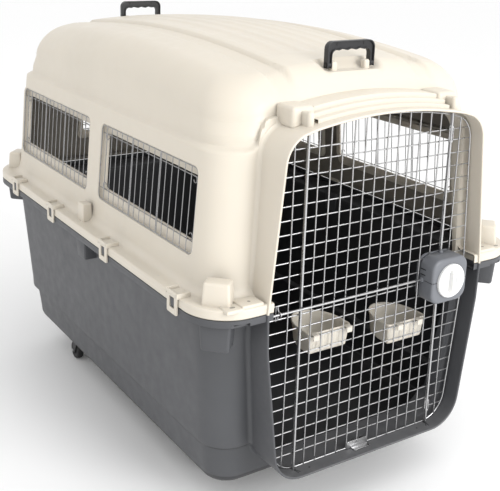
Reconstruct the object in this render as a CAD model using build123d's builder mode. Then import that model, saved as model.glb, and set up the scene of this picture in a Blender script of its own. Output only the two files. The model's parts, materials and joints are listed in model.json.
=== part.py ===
"""Large two-shell pet transport carrier with a wire door, rod lock, bowls, handles, clips and casters.

Units are millimetres. +Z is up, the door faces -Y, and the carrier stands on its wheels at Z = 0.
"""

from build123d import *
from math import pi
import os

os.makedirs("parts", exist_ok=True)

# Overall layout
RIM_HALF_X = 405.0  # outer half width of the rim flange
RIM_FRONT_Y = -586.0
RIM_REAR_Y = 614.0
COLLAR_FRONT_Y = -590.0  # front edge of the door collar
BASE_BOTTOM_Z = 72.0  # underside of the base, above the casters
STEP_Z = 172.0  # ledge low on the base wall
PARTING_Z = 496.0  # where the two shells meet
SHOULDER_Z = 788.0  # where the dome steps in
CROWN_Z = 963.0  # highest point of the roof

# Shell walls
SKIN = 4.0
WALL_HALF_X = 363.0  # at the parting line
FRONT_WALL_Y = -532.0
REAR_WALL_Y = 572.0
WALL_MID_Y = (FRONT_WALL_Y + REAR_WALL_Y) / 2
WALL_LENGTH = REAR_WALL_Y - FRONT_WALL_Y
WALL_CORNER_R = 80.0
WALL_DRAFT = 0.08  # inset per millimetre of height above the parting line
SHOULDER_INSET = 11.0
BASE_STEP_INSET = 26.0
BASE_LOWER_INSET = 36.0
BASE_BOTTOM_INSET = 47.0
BASE_EDGE_R = 30.0
ROOF_EDGE_R = 62.0
ROOF_ARC_R = 1500.0  # crown across the roof
ROOF_LONG_R = 3500.0  # crown along the roof

# Rim flanges
TOP_BAND = 20.0  # height of the upper shell's rim band
BASE_BAND = 16.0
FLANGE_TOP_Z = PARTING_Z + TOP_BAND
BASE_BAND_Z = PARTING_Z - BASE_BAND
RIM_FRONT_R = 90.0
RIM_REAR_R = 110.0

# Door collar, as half widths and heights from the parting line
COLLAR_SKIN = 5.0
COLLAR = dict(mid=279.0, top=247.0, spring=328.0, crown=360.0, knee=277.0, foot=242.0, sill=-376.0)
COLLAR_TOP_R = 62.0
COLLAR_FOOT_R = 72.0
KNEE_DROP = 80.0
DOOR = dict(mid=260.0, top=241.0, spring=318.0, crown=348.0, knee=258.0, foot=231.0, sill=-369.5)
DOOR_TOP_R = 56.0
DOOR_FOOT_R = 62.0
STOP = dict(mid=257.0, top=238.0, spring=320.0, crown=350.0, knee=255.0, foot=228.0, sill=-371.0)
STOP_Y = FRONT_WALL_Y - SKIN  # plane that the closed door rests near

# Door grille
PITCH = 28.0  # welded mesh pitch
WIRE = 3.0
GRILLE_FRONT_Y = -560.0
GRILLE_BACK_Y = -556.0
MESH_COLUMNS = 16
FULL_ROWS = 21
FOOT_ROW_GAPS = (1.17 * PITCH, 0.83 * PITCH)
ROD_R = 2.5
ROD_X = 6.5 * PITCH
ROD_Y = GRILLE_FRONT_Y - ROD_R - 0.02
SOCKET_R = ROD_R + 0.08
SIDE_BOLT_Y = ROD_Y - 2 * ROD_R - 1.0
LOCK_Z = 480.0
LOCK_X = 178.0
LOCK_SIDE = 100.0
LOCK_FRONT_Y = -600.0
LOCK_WALL = 3.0
KNOB_R = 37.0
BOLT_TRAVEL = 14.0
SIDE_TRAVEL = 20.0
PINION_R = BOLT_TRAVEL / (pi / 2)
DISC_R = SIDE_TRAVEL / (pi / 2)
RACK_GAP = 0.3
SIDE_TIP_X = -258.5  # free end of the side bolt when the lock is open

# Sockets for the rods
BOSS_FOOT_Z = 110.0
BOSS_R = 7.5
BOSS_TOP_Z = 872.0
BOSS_HALF_X = 27.0
BOSS_FRONT_Y = -572.0

# Side windows: lowest and highest Z, and the Y span of each
WINDOW_Z = (575.0, 750.0)
WINDOW_SPANS = {"front": (-440.0, -5.0), "rear": (58.0, 493.0)}
BACK_WINDOW_HALF_X = 170.0
WINDOW_R = 16.0
LEDGE_DEPTH = 15.0
LEDGE_SIDE = 16.0
LEDGE_TOP = 20.0
LEDGE_FOOT = 27.0
WINDOW_WIRE = 2.5
WINDOW_HALF_Z = (WINDOW_Z[1] - WINDOW_Z[0]) / 2

# Rim clips
CLIP_Y = (-460.0, -148.0, 158.0, 409.0)
CLIP_HALF = 19.0
CLIP_LUG = (19.5, 23.5)  # near and far side of each lug, from the clip's middle
CLIP_WINDOW_HALF = 9.0
CLIP_WINDOW_Z = (490.5, 512.5)
CATCH_HALF = 7.5
CATCH_Z = (492.0, 510.5)
CLIP_PIVOT_Z = FLANGE_TOP_Z + 4.5
CLIP_PIVOT_OUT = 3.0  # pivot distance outside the rim face
CLIP_PIN_R = 2.2
CLIP_FOOT_Z = 479.0

# Strap and bolt holes through both rims
TIE_X = 330.0
TIE_YS = (-566.0, 590.0)
TIE_R = 3.5

# Notches in the lower rim beside the door
NOTCH_X = (314.0, 351.0)
NOTCH_HEIGHT = 8.0

# Handles
HANDLE_Y = 464.0  # distance of each pivot from the middle of the roof
HANDLE_HALF_X = 60.0
HANDLE_LEG = 10.0
HANDLE_TOP_Z = 972.0
HANDLE_PIVOT_Z = 925.0
POCKET_FLOOR_Z = 914.0
POCKET_X = (49.6, 61.0)  # near and far side of the pocket that each leg folds into
POCKET_BACK = 12.0
POCKET_FRONT = 44.0
LUG_X = (34.0, 49.2)
LUG_TOP_Z = 938.0
PIN_END_X = 39.5

# Casters
CASTER_PLACES = {"front": (235.0, -320.0), "rear": (272.0, 326.0)}  # X either side of the middle, and Y
WHEEL_R = 25.0
WHEEL_WIDTH = 20.0
TRAIL = 14.0
FORK_PLATE = 2.5

# Bowls: middle X, number of the level wire they hang on and hook distance from the middle
BOWLS = {"water_bowl": (-98.0, 10, 1.5 * PITCH), "food_bowl": (112.0, 9, PITCH)}
BOWL_HOOK = 3.0
HANG_GAP = 0.3
BOWL_HALF_X = 54.0
BOWL_DEPTH = 106.0
BOWL_HEIGHT = 50.0
BOWL_SKIN = 2.5


def save(part, name):
    """Label a finished piece and write it as its own STEP file."""
    part.label = name
    export_step(part, f"parts/{name}.step")


def tapered_block(levels):
    """Solid through rounded plan sections, each given as height, inset and corner radius."""
    with BuildPart() as block:
        for height, inset, radius in levels:
            with BuildSketch(Plane.XY.offset(height)):
                with Locations((0, WALL_MID_Y)):
                    RectangleRounded(2 * (WALL_HALF_X - inset), WALL_LENGTH - 2 * inset, radius)
        loft(ruled=True)
    return block.part


def doorway(shape, top_r, foot_r, front_y, back_y, inset=0.0):
    """Prism with the arched, tapering outline of the doorway, between two Y planes."""
    z = PARTING_Z
    knee_z = z - KNEE_DROP
    sill_z = z + shape["sill"]
    spring_z = z + shape["spring"]
    with BuildPart() as prism:
        with BuildSketch(Plane.XZ.offset(-back_y)):
            with BuildLine():
                side = [(shape["foot"], sill_z), (shape["knee"], knee_z), (shape["mid"], z)]
                side.append((shape["top"], spring_z))
                Polyline(*side)
                Polyline(*[(-x, height) for x, height in side])
                Line((-shape["foot"], sill_z), (shape["foot"], sill_z))
                ThreePointArc((-shape["top"], spring_z), (0, z + shape["crown"]), (shape["top"], spring_z))
            make_face()
            fillet(vertices().group_by(Axis.Y)[-1], top_r)
            fillet(vertices().group_by(Axis.Y)[0], foot_r)
            if inset:
                offset(amount=-inset, mode=Mode.REPLACE)
        extrude(amount=back_y - front_y)
    return prism.part


def rim_band(low_z, high_z, inset=0.0):
    """Slab with the rim's outline, square at the door and rounded at the four corners."""
    mid_y = (RIM_FRONT_Y + RIM_REAR_Y) / 2
    with BuildPart() as slab:
        with BuildSketch(Plane.XY.offset(low_z)):
            with Locations((0, mid_y)):
                Rectangle(2 * (RIM_HALF_X - inset), RIM_REAR_Y - RIM_FRONT_Y - 2 * inset)
            fillet(vertices().group_by(Axis.Y)[0], RIM_FRONT_R - inset)
            fillet(vertices().group_by(Axis.Y)[-1], RIM_REAR_R - inset)
        extrude(amount=high_z - low_z)
    return slab.part


def box(low, high):
    """Plain box between two corners."""
    with BuildPart() as block:
        with Locations(tuple((a + b) / 2 for a, b in zip(low, high))):
            Box(*(b - a for a, b in zip(low, high)))
    return block.part


def rod(start, end, radius):
    """Round bar between two points."""
    direction = Vector(*end) - Vector(*start)
    with BuildPart() as bar:
        with BuildSketch(Plane(origin=start, z_dir=direction)):
            Circle(radius)
        extrude(amount=direction.length)
    return bar.part


def corner_post(side, end, low_z, high_z, foot_half, top_half, reach):
    """Stacking post at a shell corner, facing out along the diagonal and narrowing upwards or down."""
    if end < 0:
        centre_y = RIM_FRONT_Y + RIM_FRONT_R
        centre_x = RIM_HALF_X - RIM_FRONT_R
    else:
        centre_y = RIM_REAR_Y - RIM_REAR_R
        centre_x = RIM_HALF_X - RIM_REAR_R
    base = Plane(origin=(side * centre_x, centre_y, low_z), x_dir=(-end, side, 0), z_dir=(0, 0, 1))
    with BuildPart() as post:
        for height, half, out in ((0, foot_half, reach), (high_z - low_z, top_half, reach - 7)):
            with BuildSketch(base.offset(height)):
                way = 1 if base.y_dir.X * side > 0 else -1
                with Locations((0, way * out / 2)):
                    Rectangle(2 * half, out)
        loft(ruled=True)
    return post.part


def side_clip_frames():
    """Planes at the rim face, one per clip: X runs along the rim, Y is up and Z points outwards."""
    frames = {}
    for number, y in enumerate(CLIP_Y, start=1):
        for side, word in ((-1, "left"), (1, "right")):
            frames[f"rim_clip_{word}_{number}"] = Plane(
                origin=(side * RIM_HALF_X, y, 0), x_dir=(0, side, 0), z_dir=(side, 0, 0)
            )
    return frames


def clip_block(frame, low, high):
    """Box in a clip's frame, given as along, up and outwards."""
    with BuildPart() as block:
        with BuildSketch(frame.offset(low[2])):
            with Locations(((low[0] + high[0]) / 2, (low[1] + high[1]) / 2)):
                Rectangle(high[0] - low[0], high[1] - low[1])
        extrude(amount=high[2] - low[2])
    return block.part


def clip_hole(frame, radius, half_length):
    """Round bar along a clip's pivot."""
    with BuildPart() as bar:
        start = frame.from_local_coords((-half_length, CLIP_PIVOT_Z, CLIP_PIVOT_OUT))
        with BuildSketch(Plane(origin=start, z_dir=frame.x_dir)):
            Circle(radius)
        extrude(amount=2 * half_length)
    return bar.part


def window_frames():
    """Planes on the outside of each window's wall: X along the wall, Y up it and Z out of it."""
    mid_z = sum(WINDOW_Z) / 2
    inset = WALL_DRAFT * (mid_z - PARTING_Z)
    frames = {}
    for place, (low_y, high_y) in WINDOW_SPANS.items():
        for side, word in ((-1, "left"), (1, "right")):
            middle = (side * (WALL_HALF_X - inset), (low_y + high_y) / 2, mid_z)
            wall = Plane(origin=middle, x_dir=(0, side, 0), z_dir=(side, 0, WALL_DRAFT))
            frames[f"window_grille_{word}_{place}"] = (wall, (high_y - low_y) / 2)
    middle = (0, REAR_WALL_Y - inset, mid_z)
    wall = Plane(origin=middle, x_dir=(-1, 0, 0), z_dir=(0, 1, WALL_DRAFT))
    frames["window_grille_back"] = (wall, BACK_WINDOW_HALF_X)
    return frames


def window_slab(frame, half_x, out, depth, grow=0.0, ledge=False):
    """Rounded slab at a window, from a distance outside the wall inwards; the ledge is the open part."""
    with BuildPart() as slab:
        with BuildSketch(frame.offset(out)):
            if ledge:
                height = 2 * WINDOW_HALF_Z - LEDGE_TOP - LEDGE_FOOT
                with Locations((0, (LEDGE_FOOT - LEDGE_TOP) / 2)):
                    RectangleRounded(2 * (half_x - LEDGE_SIDE), height, WINDOW_R / 2)
            else:
                RectangleRounded(2 * (half_x + grow), 2 * (WINDOW_HALF_Z + grow), WINDOW_R + grow)
        extrude(amount=-depth)
    return slab.part


def dome_block(skin):
    """Dome of the upper shell, inset by a skin thickness: plan block cut by a doubly curved crown."""
    low = SHOULDER_Z - 20.0 - skin
    high = CROWN_Z + 40.0
    first = SHOULDER_INSET + WALL_DRAFT * (low - PARTING_Z) + skin
    last = SHOULDER_INSET + WALL_DRAFT * (high - PARTING_Z) + skin
    plan = tapered_block([(low, first, 90.0 - skin), (high, last, 90.0 - skin)])
    crown_z = CROWN_Z - skin
    arc_r = ROOF_ARC_R - skin
    half = 450.0
    drop = arc_r - (arc_r**2 - half**2) ** 0.5
    axis = Axis((0, WALL_MID_Y, crown_z - ROOF_LONG_R), (1, 0, 0))
    with BuildPart() as crown:
        with BuildSketch(Plane.XZ.offset(-WALL_MID_Y)):
            with BuildLine():
                ThreePointArc((-half, crown_z - drop), (0, crown_z), (half, crown_z - drop))
                Polyline((-half, crown_z - drop), (-half, low - 60), (half, low - 60), (half, crown_z - drop))
            make_face()
        revolve(axis=axis, revolution_arc=24.0)
    swung = crown.part.rotate(axis, 12.0)
    if swung.bounding_box().center().Y < WALL_MID_Y - 50 or swung.bounding_box().center().Y > WALL_MID_Y + 50:
        swung = crown.part.rotate(axis, -12.0)
    with BuildPart() as dome:
        add(plan)
        add(swung, mode=Mode.INTERSECT)
        top = faces().sort_by(Axis.Z)[-1]
        fillet(top.edges(), ROOF_EDGE_R - skin)
    return dome.part


def handle_pockets(end, skin):
    """Space beside a handle's lugs that each leg folds out into, open to the sky and to the end wall."""
    low_y, high_y = sorted((handle_y(end) - end * (POCKET_BACK + skin), handle_y(end) + end * POCKET_FRONT))
    with BuildPart() as pockets:
        for side in (-1, 1):
            low_x, high_x = sorted((side * (POCKET_X[0] - skin), side * (POCKET_X[1] + skin)))
            add(box((low_x, low_y, POCKET_FLOOR_Z - skin), (high_x, high_y, CROWN_Z + 60)))
    return pockets.part


def handle_y(end):
    """Y of a handle's pivot."""
    return WALL_MID_Y + end * HANDLE_Y


def make_top_shell():
    """Upper shell: dome, walls, rim, upper half of the door collar, window ledges and handle pockets."""
    shoulder = WALL_DRAFT * (SHOULDER_Z - PARTING_Z)
    collar = doorway(COLLAR, COLLAR_TOP_R, COLLAR_FOOT_R, COLLAR_FRONT_Y, FRONT_WALL_Y + 60)
    tunnel = doorway(COLLAR, COLLAR_TOP_R, COLLAR_FOOT_R, COLLAR_FRONT_Y - 5, STOP_Y, COLLAR_SKIN)
    opening = doorway(STOP, DOOR_TOP_R, DOOR_FOOT_R, COLLAR_FRONT_Y - 5, FRONT_WALL_Y + 80)
    walls = tapered_block([(PARTING_Z, 0, WALL_CORNER_R), (SHOULDER_Z, shoulder, WALL_CORNER_R)])
    dome = dome_block(0.0)
    flange = rim_band(PARTING_Z, FLANGE_TOP_Z)
    channel = rim_band(PARTING_Z - 1, FLANGE_TOP_Z - SKIN, SKIN)
    wall_core = tapered_block([(PARTING_Z - 1, 0, WALL_CORNER_R), (FLANGE_TOP_Z, 0, WALL_CORNER_R)])
    low = PARTING_Z - 1.0
    room_foot = (low, SKIN - WALL_DRAFT, WALL_CORNER_R - SKIN)
    room_top = (SHOULDER_Z - SKIN, shoulder + SKIN, WALL_CORNER_R - SKIN)
    room = tapered_block([room_foot, room_top])
    attic = dome_block(SKIN)
    windows = window_frames()
    clips = side_clip_frames()
    with BuildPart() as shell:
        add(flange)
        add(channel, mode=Mode.SUBTRACT)
        add(wall_core)
        add(walls)
        add(dome)
        add(collar)
        for side in (-1, 1):
            add(box((side * ROD_X - BOSS_HALF_X, BOSS_FRONT_Y, PARTING_Z + 300),
                    (side * ROD_X + BOSS_HALF_X, FRONT_WALL_Y + 60, BOSS_TOP_Z)))
            for end in (-1, 1):
                add(corner_post(side, end, PARTING_Z + SKIN, FLANGE_TOP_Z + 44, 30.0, 25.0, 84.0))
            add(box((side * (RIM_HALF_X - 34) - 18, WALL_MID_Y - 9, PARTING_Z + SKIN),
                    (side * (RIM_HALF_X - 34) + 14, WALL_MID_Y + 25, FLANGE_TOP_Z + 42)))
        for end in (-1, 1):
            add(handle_pockets(end, 0.0), mode=Mode.SUBTRACT)
        add(box((-600, -700, 0), (600, 700, PARTING_Z)), mode=Mode.SUBTRACT)
        add(room, mode=Mode.SUBTRACT)
        add(attic - handle_pockets(-1, SKIN) - handle_pockets(1, SKIN), mode=Mode.SUBTRACT)
        for end in (-1, 1):
            y = handle_y(end)
            for side in (-1, 1):
                low_x, high_x = sorted((side * LUG_X[0], side * LUG_X[1]))
                add(box((low_x, y - 8, POCKET_FLOOR_Z - SKIN), (high_x, y + 8, LUG_TOP_Z)))
                pin_start = (side * (PIN_END_X - 0.5), y, HANDLE_PIVOT_Z)
                add(rod(pin_start, (side * POCKET_X[0], y, HANDLE_PIVOT_Z), 4.06), mode=Mode.SUBTRACT)
        for frame, half_x in windows.values():
            add(window_slab(frame, half_x, -0.5, LEDGE_DEPTH, SKIN))
            add(window_slab(frame, half_x, 6, 6 + LEDGE_DEPTH - SKIN), mode=Mode.SUBTRACT)
            add(window_slab(frame, half_x, 6, 40, ledge=True), mode=Mode.SUBTRACT)
        add(tunnel, mode=Mode.SUBTRACT)
        add(opening, mode=Mode.SUBTRACT)
        for side in (-1, 1):
            add(rod((side * ROD_X, ROD_Y, PARTING_Z + 300), (side * ROD_X, ROD_Y, BOSS_TOP_Z - 8), SOCKET_R),
                mode=Mode.SUBTRACT)
        for frame in clips.values():
            for way in (-1, 1):
                low_x, high_x = sorted((way * CLIP_LUG[0], way * CLIP_LUG[1]))
                add(clip_block(frame, (low_x, FLANGE_TOP_Z - SKIN, -9), (high_x, CLIP_PIVOT_Z + 4.5, 6.5)))
            add(clip_hole(frame, CLIP_PIN_R + 0.06, CLIP_LUG[1] - 0.5), mode=Mode.SUBTRACT)
            add(clip_block(frame, (-CATCH_HALF - 2.5, PARTING_Z - 1, -SKIN - 1),
                           (CATCH_HALF + 2.5, FLANGE_TOP_Z - SKIN, 1)), mode=Mode.SUBTRACT)
        for x in (-TIE_X, TIE_X):
            for y in TIE_YS:
                add(rod((x, y, PARTING_Z - 1), (x, y, FLANGE_TOP_Z + 5), TIE_R), mode=Mode.SUBTRACT)
    return shell.part


def make_base_shell():
    """Lower shell: tub with a ledge, rim, lower half of the door collar, sill sockets and clip catches."""
    collar = doorway(COLLAR, COLLAR_TOP_R, COLLAR_FOOT_R, COLLAR_FRONT_Y, FRONT_WALL_Y + 70)
    tunnel = doorway(COLLAR, COLLAR_TOP_R, COLLAR_FOOT_R, COLLAR_FRONT_Y - 5, STOP_Y, COLLAR_SKIN)
    opening = doorway(STOP, DOOR_TOP_R, DOOR_FOOT_R, COLLAR_FRONT_Y - 5, FRONT_WALL_Y + 90)
    upper = tapered_block([(STEP_Z, BASE_STEP_INSET, 66.0), (PARTING_Z, 0, WALL_CORNER_R)])
    lower = tapered_block([(BASE_BOTTOM_Z, BASE_BOTTOM_INSET, 56.0), (STEP_Z, BASE_LOWER_INSET, 60.0)])
    room = tapered_block([
        (STEP_Z + SKIN, BASE_STEP_INSET + SKIN, 62.0), (PARTING_Z + 1, SKIN, WALL_CORNER_R - SKIN)])
    pan_low = (BASE_BOTTOM_Z + SKIN, BASE_BOTTOM_INSET + SKIN, 52.0)
    pan_high = (STEP_Z + SKIN, BASE_LOWER_INSET + SKIN, 56.0)
    pan = tapered_block([pan_low, pan_high])
    flange = rim_band(BASE_BAND_Z, PARTING_Z)
    channel = rim_band(BASE_BAND_Z - 1, PARTING_Z - SKIN, SKIN)
    with BuildPart() as tub_foot:
        add(lower)
        fillet(faces().sort_by(Axis.Z)[0].edges(), BASE_EDGE_R)
    with BuildPart() as pan_foot:
        add(pan)
        fillet(faces().sort_by(Axis.Z)[0].edges(), BASE_EDGE_R - SKIN)
    with BuildPart() as shell:
        add(flange)
        add(channel, mode=Mode.SUBTRACT)
        add(upper)
        add(tub_foot.part)
        add(collar)
        for side in (-1, 1):
            add(rod((side * ROD_X, ROD_Y, BOSS_FOOT_Z), (side * ROD_X, ROD_Y, PARTING_Z - 370), BOSS_R))
            for end in (-1, 1):
                add(corner_post(side, end, BASE_BAND_Z - 48, PARTING_Z - SKIN, 22.0, 28.0, 78.0))
            add(box((side * (RIM_HALF_X - 38) - 18, WALL_MID_Y - 9, BASE_BAND_Z - 44),
                    (side * (RIM_HALF_X - 38) + 14, WALL_MID_Y + 25, PARTING_Z - SKIN)))
            for x, y in CASTER_PLACES.values():
                add(rod((side * x, y, BASE_BOTTOM_Z + 1), (side * x, y, BASE_BOTTOM_Z + 16), 12.0))
        add(box((-600, -700, PARTING_Z), (600, 700, 2000)), mode=Mode.SUBTRACT)
        add(room, mode=Mode.SUBTRACT)
        add(pan_foot.part - caster_cups(), mode=Mode.SUBTRACT)
        add(tunnel, mode=Mode.SUBTRACT)
        add(opening, mode=Mode.SUBTRACT)
        for side in (-1, 1):
            add(rod((side * ROD_X, ROD_Y, BOSS_FOOT_Z + 3), (side * ROD_X, ROD_Y, PARTING_Z - 350), SOCKET_R),
                mode=Mode.SUBTRACT)
            for x, y in CASTER_PLACES.values():
                add(rod((side * x, y, BASE_BOTTOM_Z - 1), (side * x, y, BASE_BOTTOM_Z + 12), 5.0),
                    mode=Mode.SUBTRACT)
        add(rod((-COLLAR["mid"] - 10, SIDE_BOLT_Y, LOCK_Z), (-COLLAR["mid"] + 20, SIDE_BOLT_Y, LOCK_Z),
                ROD_R + 0.6), mode=Mode.SUBTRACT)
        for side in (-1, 1):
            notch_x = sorted((side * NOTCH_X[0], side * NOTCH_X[1]))
            add(box((notch_x[0], RIM_FRONT_Y - 1, BASE_BAND_Z - 1),
                    (notch_x[1], RIM_FRONT_Y + SKIN + 1, BASE_BAND_Z + NOTCH_HEIGHT)), mode=Mode.SUBTRACT)
        for frame in side_clip_frames().values():
            add(clip_block(frame, (-CATCH_HALF, CATCH_Z[0], -SKIN), (CATCH_HALF, PARTING_Z - 0.5, 3.4)))
            add(clip_block(frame, (-CATCH_HALF, PARTING_Z - 1, -SKIN + 0.5), (CATCH_HALF, CATCH_Z[1], 3.4)))
        for x in (-TIE_X, TIE_X):
            for y in TIE_YS:
                add(rod((x, y, BASE_BAND_Z - 1), (x, y, PARTING_Z + 5), TIE_R), mode=Mode.SUBTRACT)
    return shell.part


def caster_cups():
    """Posts inside the pan that hold the caster stems."""
    with BuildPart() as cups:
        for side in (-1, 1):
            for x, y in CASTER_PLACES.values():
                add(rod((side * x, y, BASE_BOTTOM_Z), (side * x, y, BASE_BOTTOM_Z + 16), 12.0))
    return cups.part


def mesh_rows():
    """Heights of the door's horizontal wires, from the bottom up."""
    rows = [PARTING_Z + DOOR["sill"] + WIRE / 2]
    for gap in FOOT_ROW_GAPS:
        rows.append(rows[-1] + gap)
    for _ in range(FULL_ROWS):
        rows.append(rows[-1] + PITCH)
    rows.append(rows[-1] + FOOT_ROW_GAPS[1])
    return rows


def make_door_grille():
    """Welded door mesh in one layer: a closed outer wire with upright and level wires inside."""
    outline = doorway(DOOR, DOOR_TOP_R, DOOR_FOOT_R, GRILLE_FRONT_Y, GRILLE_BACK_Y)
    inner = doorway(DOOR, DOOR_TOP_R, DOOR_FOOT_R, GRILLE_FRONT_Y - 1, GRILLE_BACK_Y + 1, WIRE)
    rows = mesh_rows()
    edges_z = rows[1:]
    columns = [(number - (MESH_COLUMNS - 1) / 2) * PITCH for number in range(MESH_COLUMNS)]
    low_z = PARTING_Z + DOOR["sill"]
    high_z = PARTING_Z + DOOR["crown"]
    with BuildPart() as bars:
        with BuildSketch(Plane.XZ.offset(-GRILLE_BACK_Y)):
            for x in columns:
                with Locations((x, (low_z + high_z) / 2)):
                    Rectangle(WIRE, high_z - low_z)
            for z in edges_z:
                with Locations((0, z)):
                    Rectangle(2 * DOOR["mid"], WIRE)
        extrude(amount=GRILLE_BACK_Y - GRILLE_FRONT_Y)
    with BuildPart() as grille:
        add(outline)
        add(inner, mode=Mode.SUBTRACT)
        add(bars.part & outline)
    return grille.part


def make_window_grille(frame, half_x):
    """Window grille in one layer: rounded outer wire, uprights and two level wires."""
    count = round(2 * half_x / PITCH)
    half_z = WINDOW_HALF_Z - 1.0
    reach = half_x - 1.0
    with BuildPart() as grille:
        with BuildSketch(frame.offset(-WINDOW_WIRE - 1.0)):
            RectangleRounded(2 * reach, 2 * half_z, WINDOW_R - 2)
            RectangleRounded(2 * (reach - WINDOW_WIRE), 2 * (half_z - WINDOW_WIRE), WINDOW_R - 4,
                             mode=Mode.SUBTRACT)
            for number in range(1, count):
                with Locations((-reach + number * 2 * reach / count, 0)):
                    Rectangle(WINDOW_WIRE, 2 * half_z - WINDOW_WIRE)
            for z in (half_z - LEDGE_TOP, LEDGE_FOOT - half_z):
                with Locations((0, z)):
                    Rectangle(2 * reach - WINDOW_WIRE, WINDOW_WIRE)
        extrude(amount=WINDOW_WIRE)
    return grille.part


def make_lock_housing():
    """Front box of the lock, open towards the grille, with exits for the three bolts."""
    half = LOCK_SIDE / 2
    depth = GRILLE_FRONT_Y - LOCK_FRONT_Y - 0.05
    with BuildPart() as housing:
        with BuildSketch(Plane.XZ.offset(-GRILLE_FRONT_Y + 0.05)):
            with Locations((LOCK_X, LOCK_Z)):
                RectangleRounded(LOCK_SIDE, LOCK_SIDE, 24.0)
        extrude(amount=depth)
        fillet(faces().sort_by(Axis.Y)[0].edges(), 5.0)
        with BuildSketch(Plane.XZ.offset(-GRILLE_FRONT_Y + 0.05)):
            with Locations((LOCK_X, LOCK_Z)):
                RectangleRounded(LOCK_SIDE - 2 * LOCK_WALL, LOCK_SIDE - 2 * LOCK_WALL, 21.0)
        extrude(amount=depth - 6.0, mode=Mode.SUBTRACT)
        for x, z in lock_screw_places():
            add(rod((x, GRILLE_FRONT_Y - 0.05, z), (x, LOCK_FRONT_Y + 4, z), 5.0))
            add(rod((x, GRILLE_FRONT_Y, z), (x, GRILLE_FRONT_Y - 16, z), 1.6), mode=Mode.SUBTRACT)
        add(rod((ROD_X, ROD_Y, LOCK_Z), (ROD_X, ROD_Y, LOCK_Z + half + 1), SOCKET_R), mode=Mode.SUBTRACT)
        add(rod((ROD_X, ROD_Y, LOCK_Z), (ROD_X, ROD_Y, LOCK_Z - half - 1), SOCKET_R), mode=Mode.SUBTRACT)
        add(rod((LOCK_X, SIDE_BOLT_Y, LOCK_Z), (LOCK_X - half - 1, SIDE_BOLT_Y, LOCK_Z), SOCKET_R),
            mode=Mode.SUBTRACT)
        add(rod((LOCK_X, LOCK_FRONT_Y - 1, LOCK_Z), (LOCK_X, LOCK_FRONT_Y + 7, LOCK_Z), 6.08),
            mode=Mode.SUBTRACT)
    return housing.part


def lock_screw_places():
    """Centres of the four screws that clamp the lock to the grille."""
    return [(LOCK_X + sx * 38.0, LOCK_Z + sz * 32.0) for sx in (-1, 1) for sz in (-1, 1)]


def make_lock_cover():
    """Plate behind the grille that closes the lock, with holes for its screws."""
    with BuildPart() as cover:
        with BuildSketch(Plane.XZ.offset(-GRILLE_BACK_Y - 6.05)):
            with Locations((LOCK_X, LOCK_Z)):
                RectangleRounded(LOCK_SIDE, LOCK_SIDE, 24.0)
            with Locations(*lock_screw_places()):
                Circle(1.8, mode=Mode.SUBTRACT)
        extrude(amount=6.0)
    return cover.part


def make_lock_screws():
    """Four pan head screws, one solid each."""
    with BuildPart() as screws:
        for x, z in lock_screw_places():
            add(rod((x, GRILLE_BACK_Y + 6.07, z), (x, GRILLE_BACK_Y + 8.5, z), 3.4))
            add(rod((x, GRILLE_FRONT_Y - 14, z), (x, GRILLE_BACK_Y + 7, z), 1.5))
    return screws.part


def make_lock_knob():
    """Round turn knob with a raised grip bar and its spindle."""
    with BuildPart() as knob:
        with BuildSketch(Plane.XZ.offset(-LOCK_FRONT_Y + 0.4)):
            with Locations((LOCK_X, LOCK_Z)):
                Circle(KNOB_R)
        extrude(amount=7.0)
        fillet(faces().sort_by(Axis.Y)[0].edges(), 3.0)
        with BuildSketch(Plane.XZ.offset(-LOCK_FRONT_Y + 7.4)):
            with Locations((LOCK_X, LOCK_Z)):
                SlotOverall(52.0, 12.0, rotation=90)
        extrude(amount=6.6)
        add(rod((LOCK_X, LOCK_FRONT_Y - 1, LOCK_Z), (LOCK_X, SIDE_BOLT_Y - 3.5, LOCK_Z), 6.0))
        add(rod((LOCK_X, LOCK_FRONT_Y, LOCK_Z), (LOCK_X, GRILLE_FRONT_Y - 1, LOCK_Z), 3.0))
    return knob.part


def make_lock_pinion():
    """Stepped drive wheel on the knob's spindle: small rim for the upright bolts, large for the side bolt."""
    with BuildPart() as pinion:
        add(rod((LOCK_X, ROD_Y - 2.4, LOCK_Z), (LOCK_X, ROD_Y + 1.6, LOCK_Z), PINION_R - RACK_GAP))
        add(rod((LOCK_X, SIDE_BOLT_Y - 2.5, LOCK_Z), (LOCK_X, SIDE_BOLT_Y + 2.5, LOCK_Z), DISC_R - RACK_GAP))
        add(rod((LOCK_X, SIDE_BOLT_Y - 2.5, LOCK_Z), (LOCK_X, ROD_Y, LOCK_Z), 6.0))
        add(rod((LOCK_X, SIDE_BOLT_Y - 3, LOCK_Z), (LOCK_X, ROD_Y + 3, LOCK_Z), 3.0), mode=Mode.SUBTRACT)
    return pinion.part


def make_upright_bolt(way, tip_z):
    """Upright bolt: round rod with a flat rack beside the drive wheel; way is +1 for the upper one."""
    inner = PINION_R + RACK_GAP
    link_low = LOCK_Z + way * 13.0
    link_high = LOCK_Z + way * 19.0
    rack_low = LOCK_Z - way * 14.0
    rack_x = LOCK_X + way * inner, LOCK_X + way * (inner + 4.6)
    span_x = min(*rack_x, ROD_X - ROD_R), max(*rack_x, ROD_X + ROD_R)
    with BuildPart() as bolt:
        add(rod((ROD_X, ROD_Y, link_low), (ROD_X, ROD_Y, tip_z), ROD_R))
        add(box((span_x[0], ROD_Y - 2.4, min(link_low, link_high)),
                (span_x[1], ROD_Y + 2.4, max(link_low, link_high))))
        add(box((min(rack_x), ROD_Y - 2.4, min(rack_low, link_high)),
                (max(rack_x), ROD_Y + 2.4, max(rack_low, link_high))))
    return bolt.part


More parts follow.
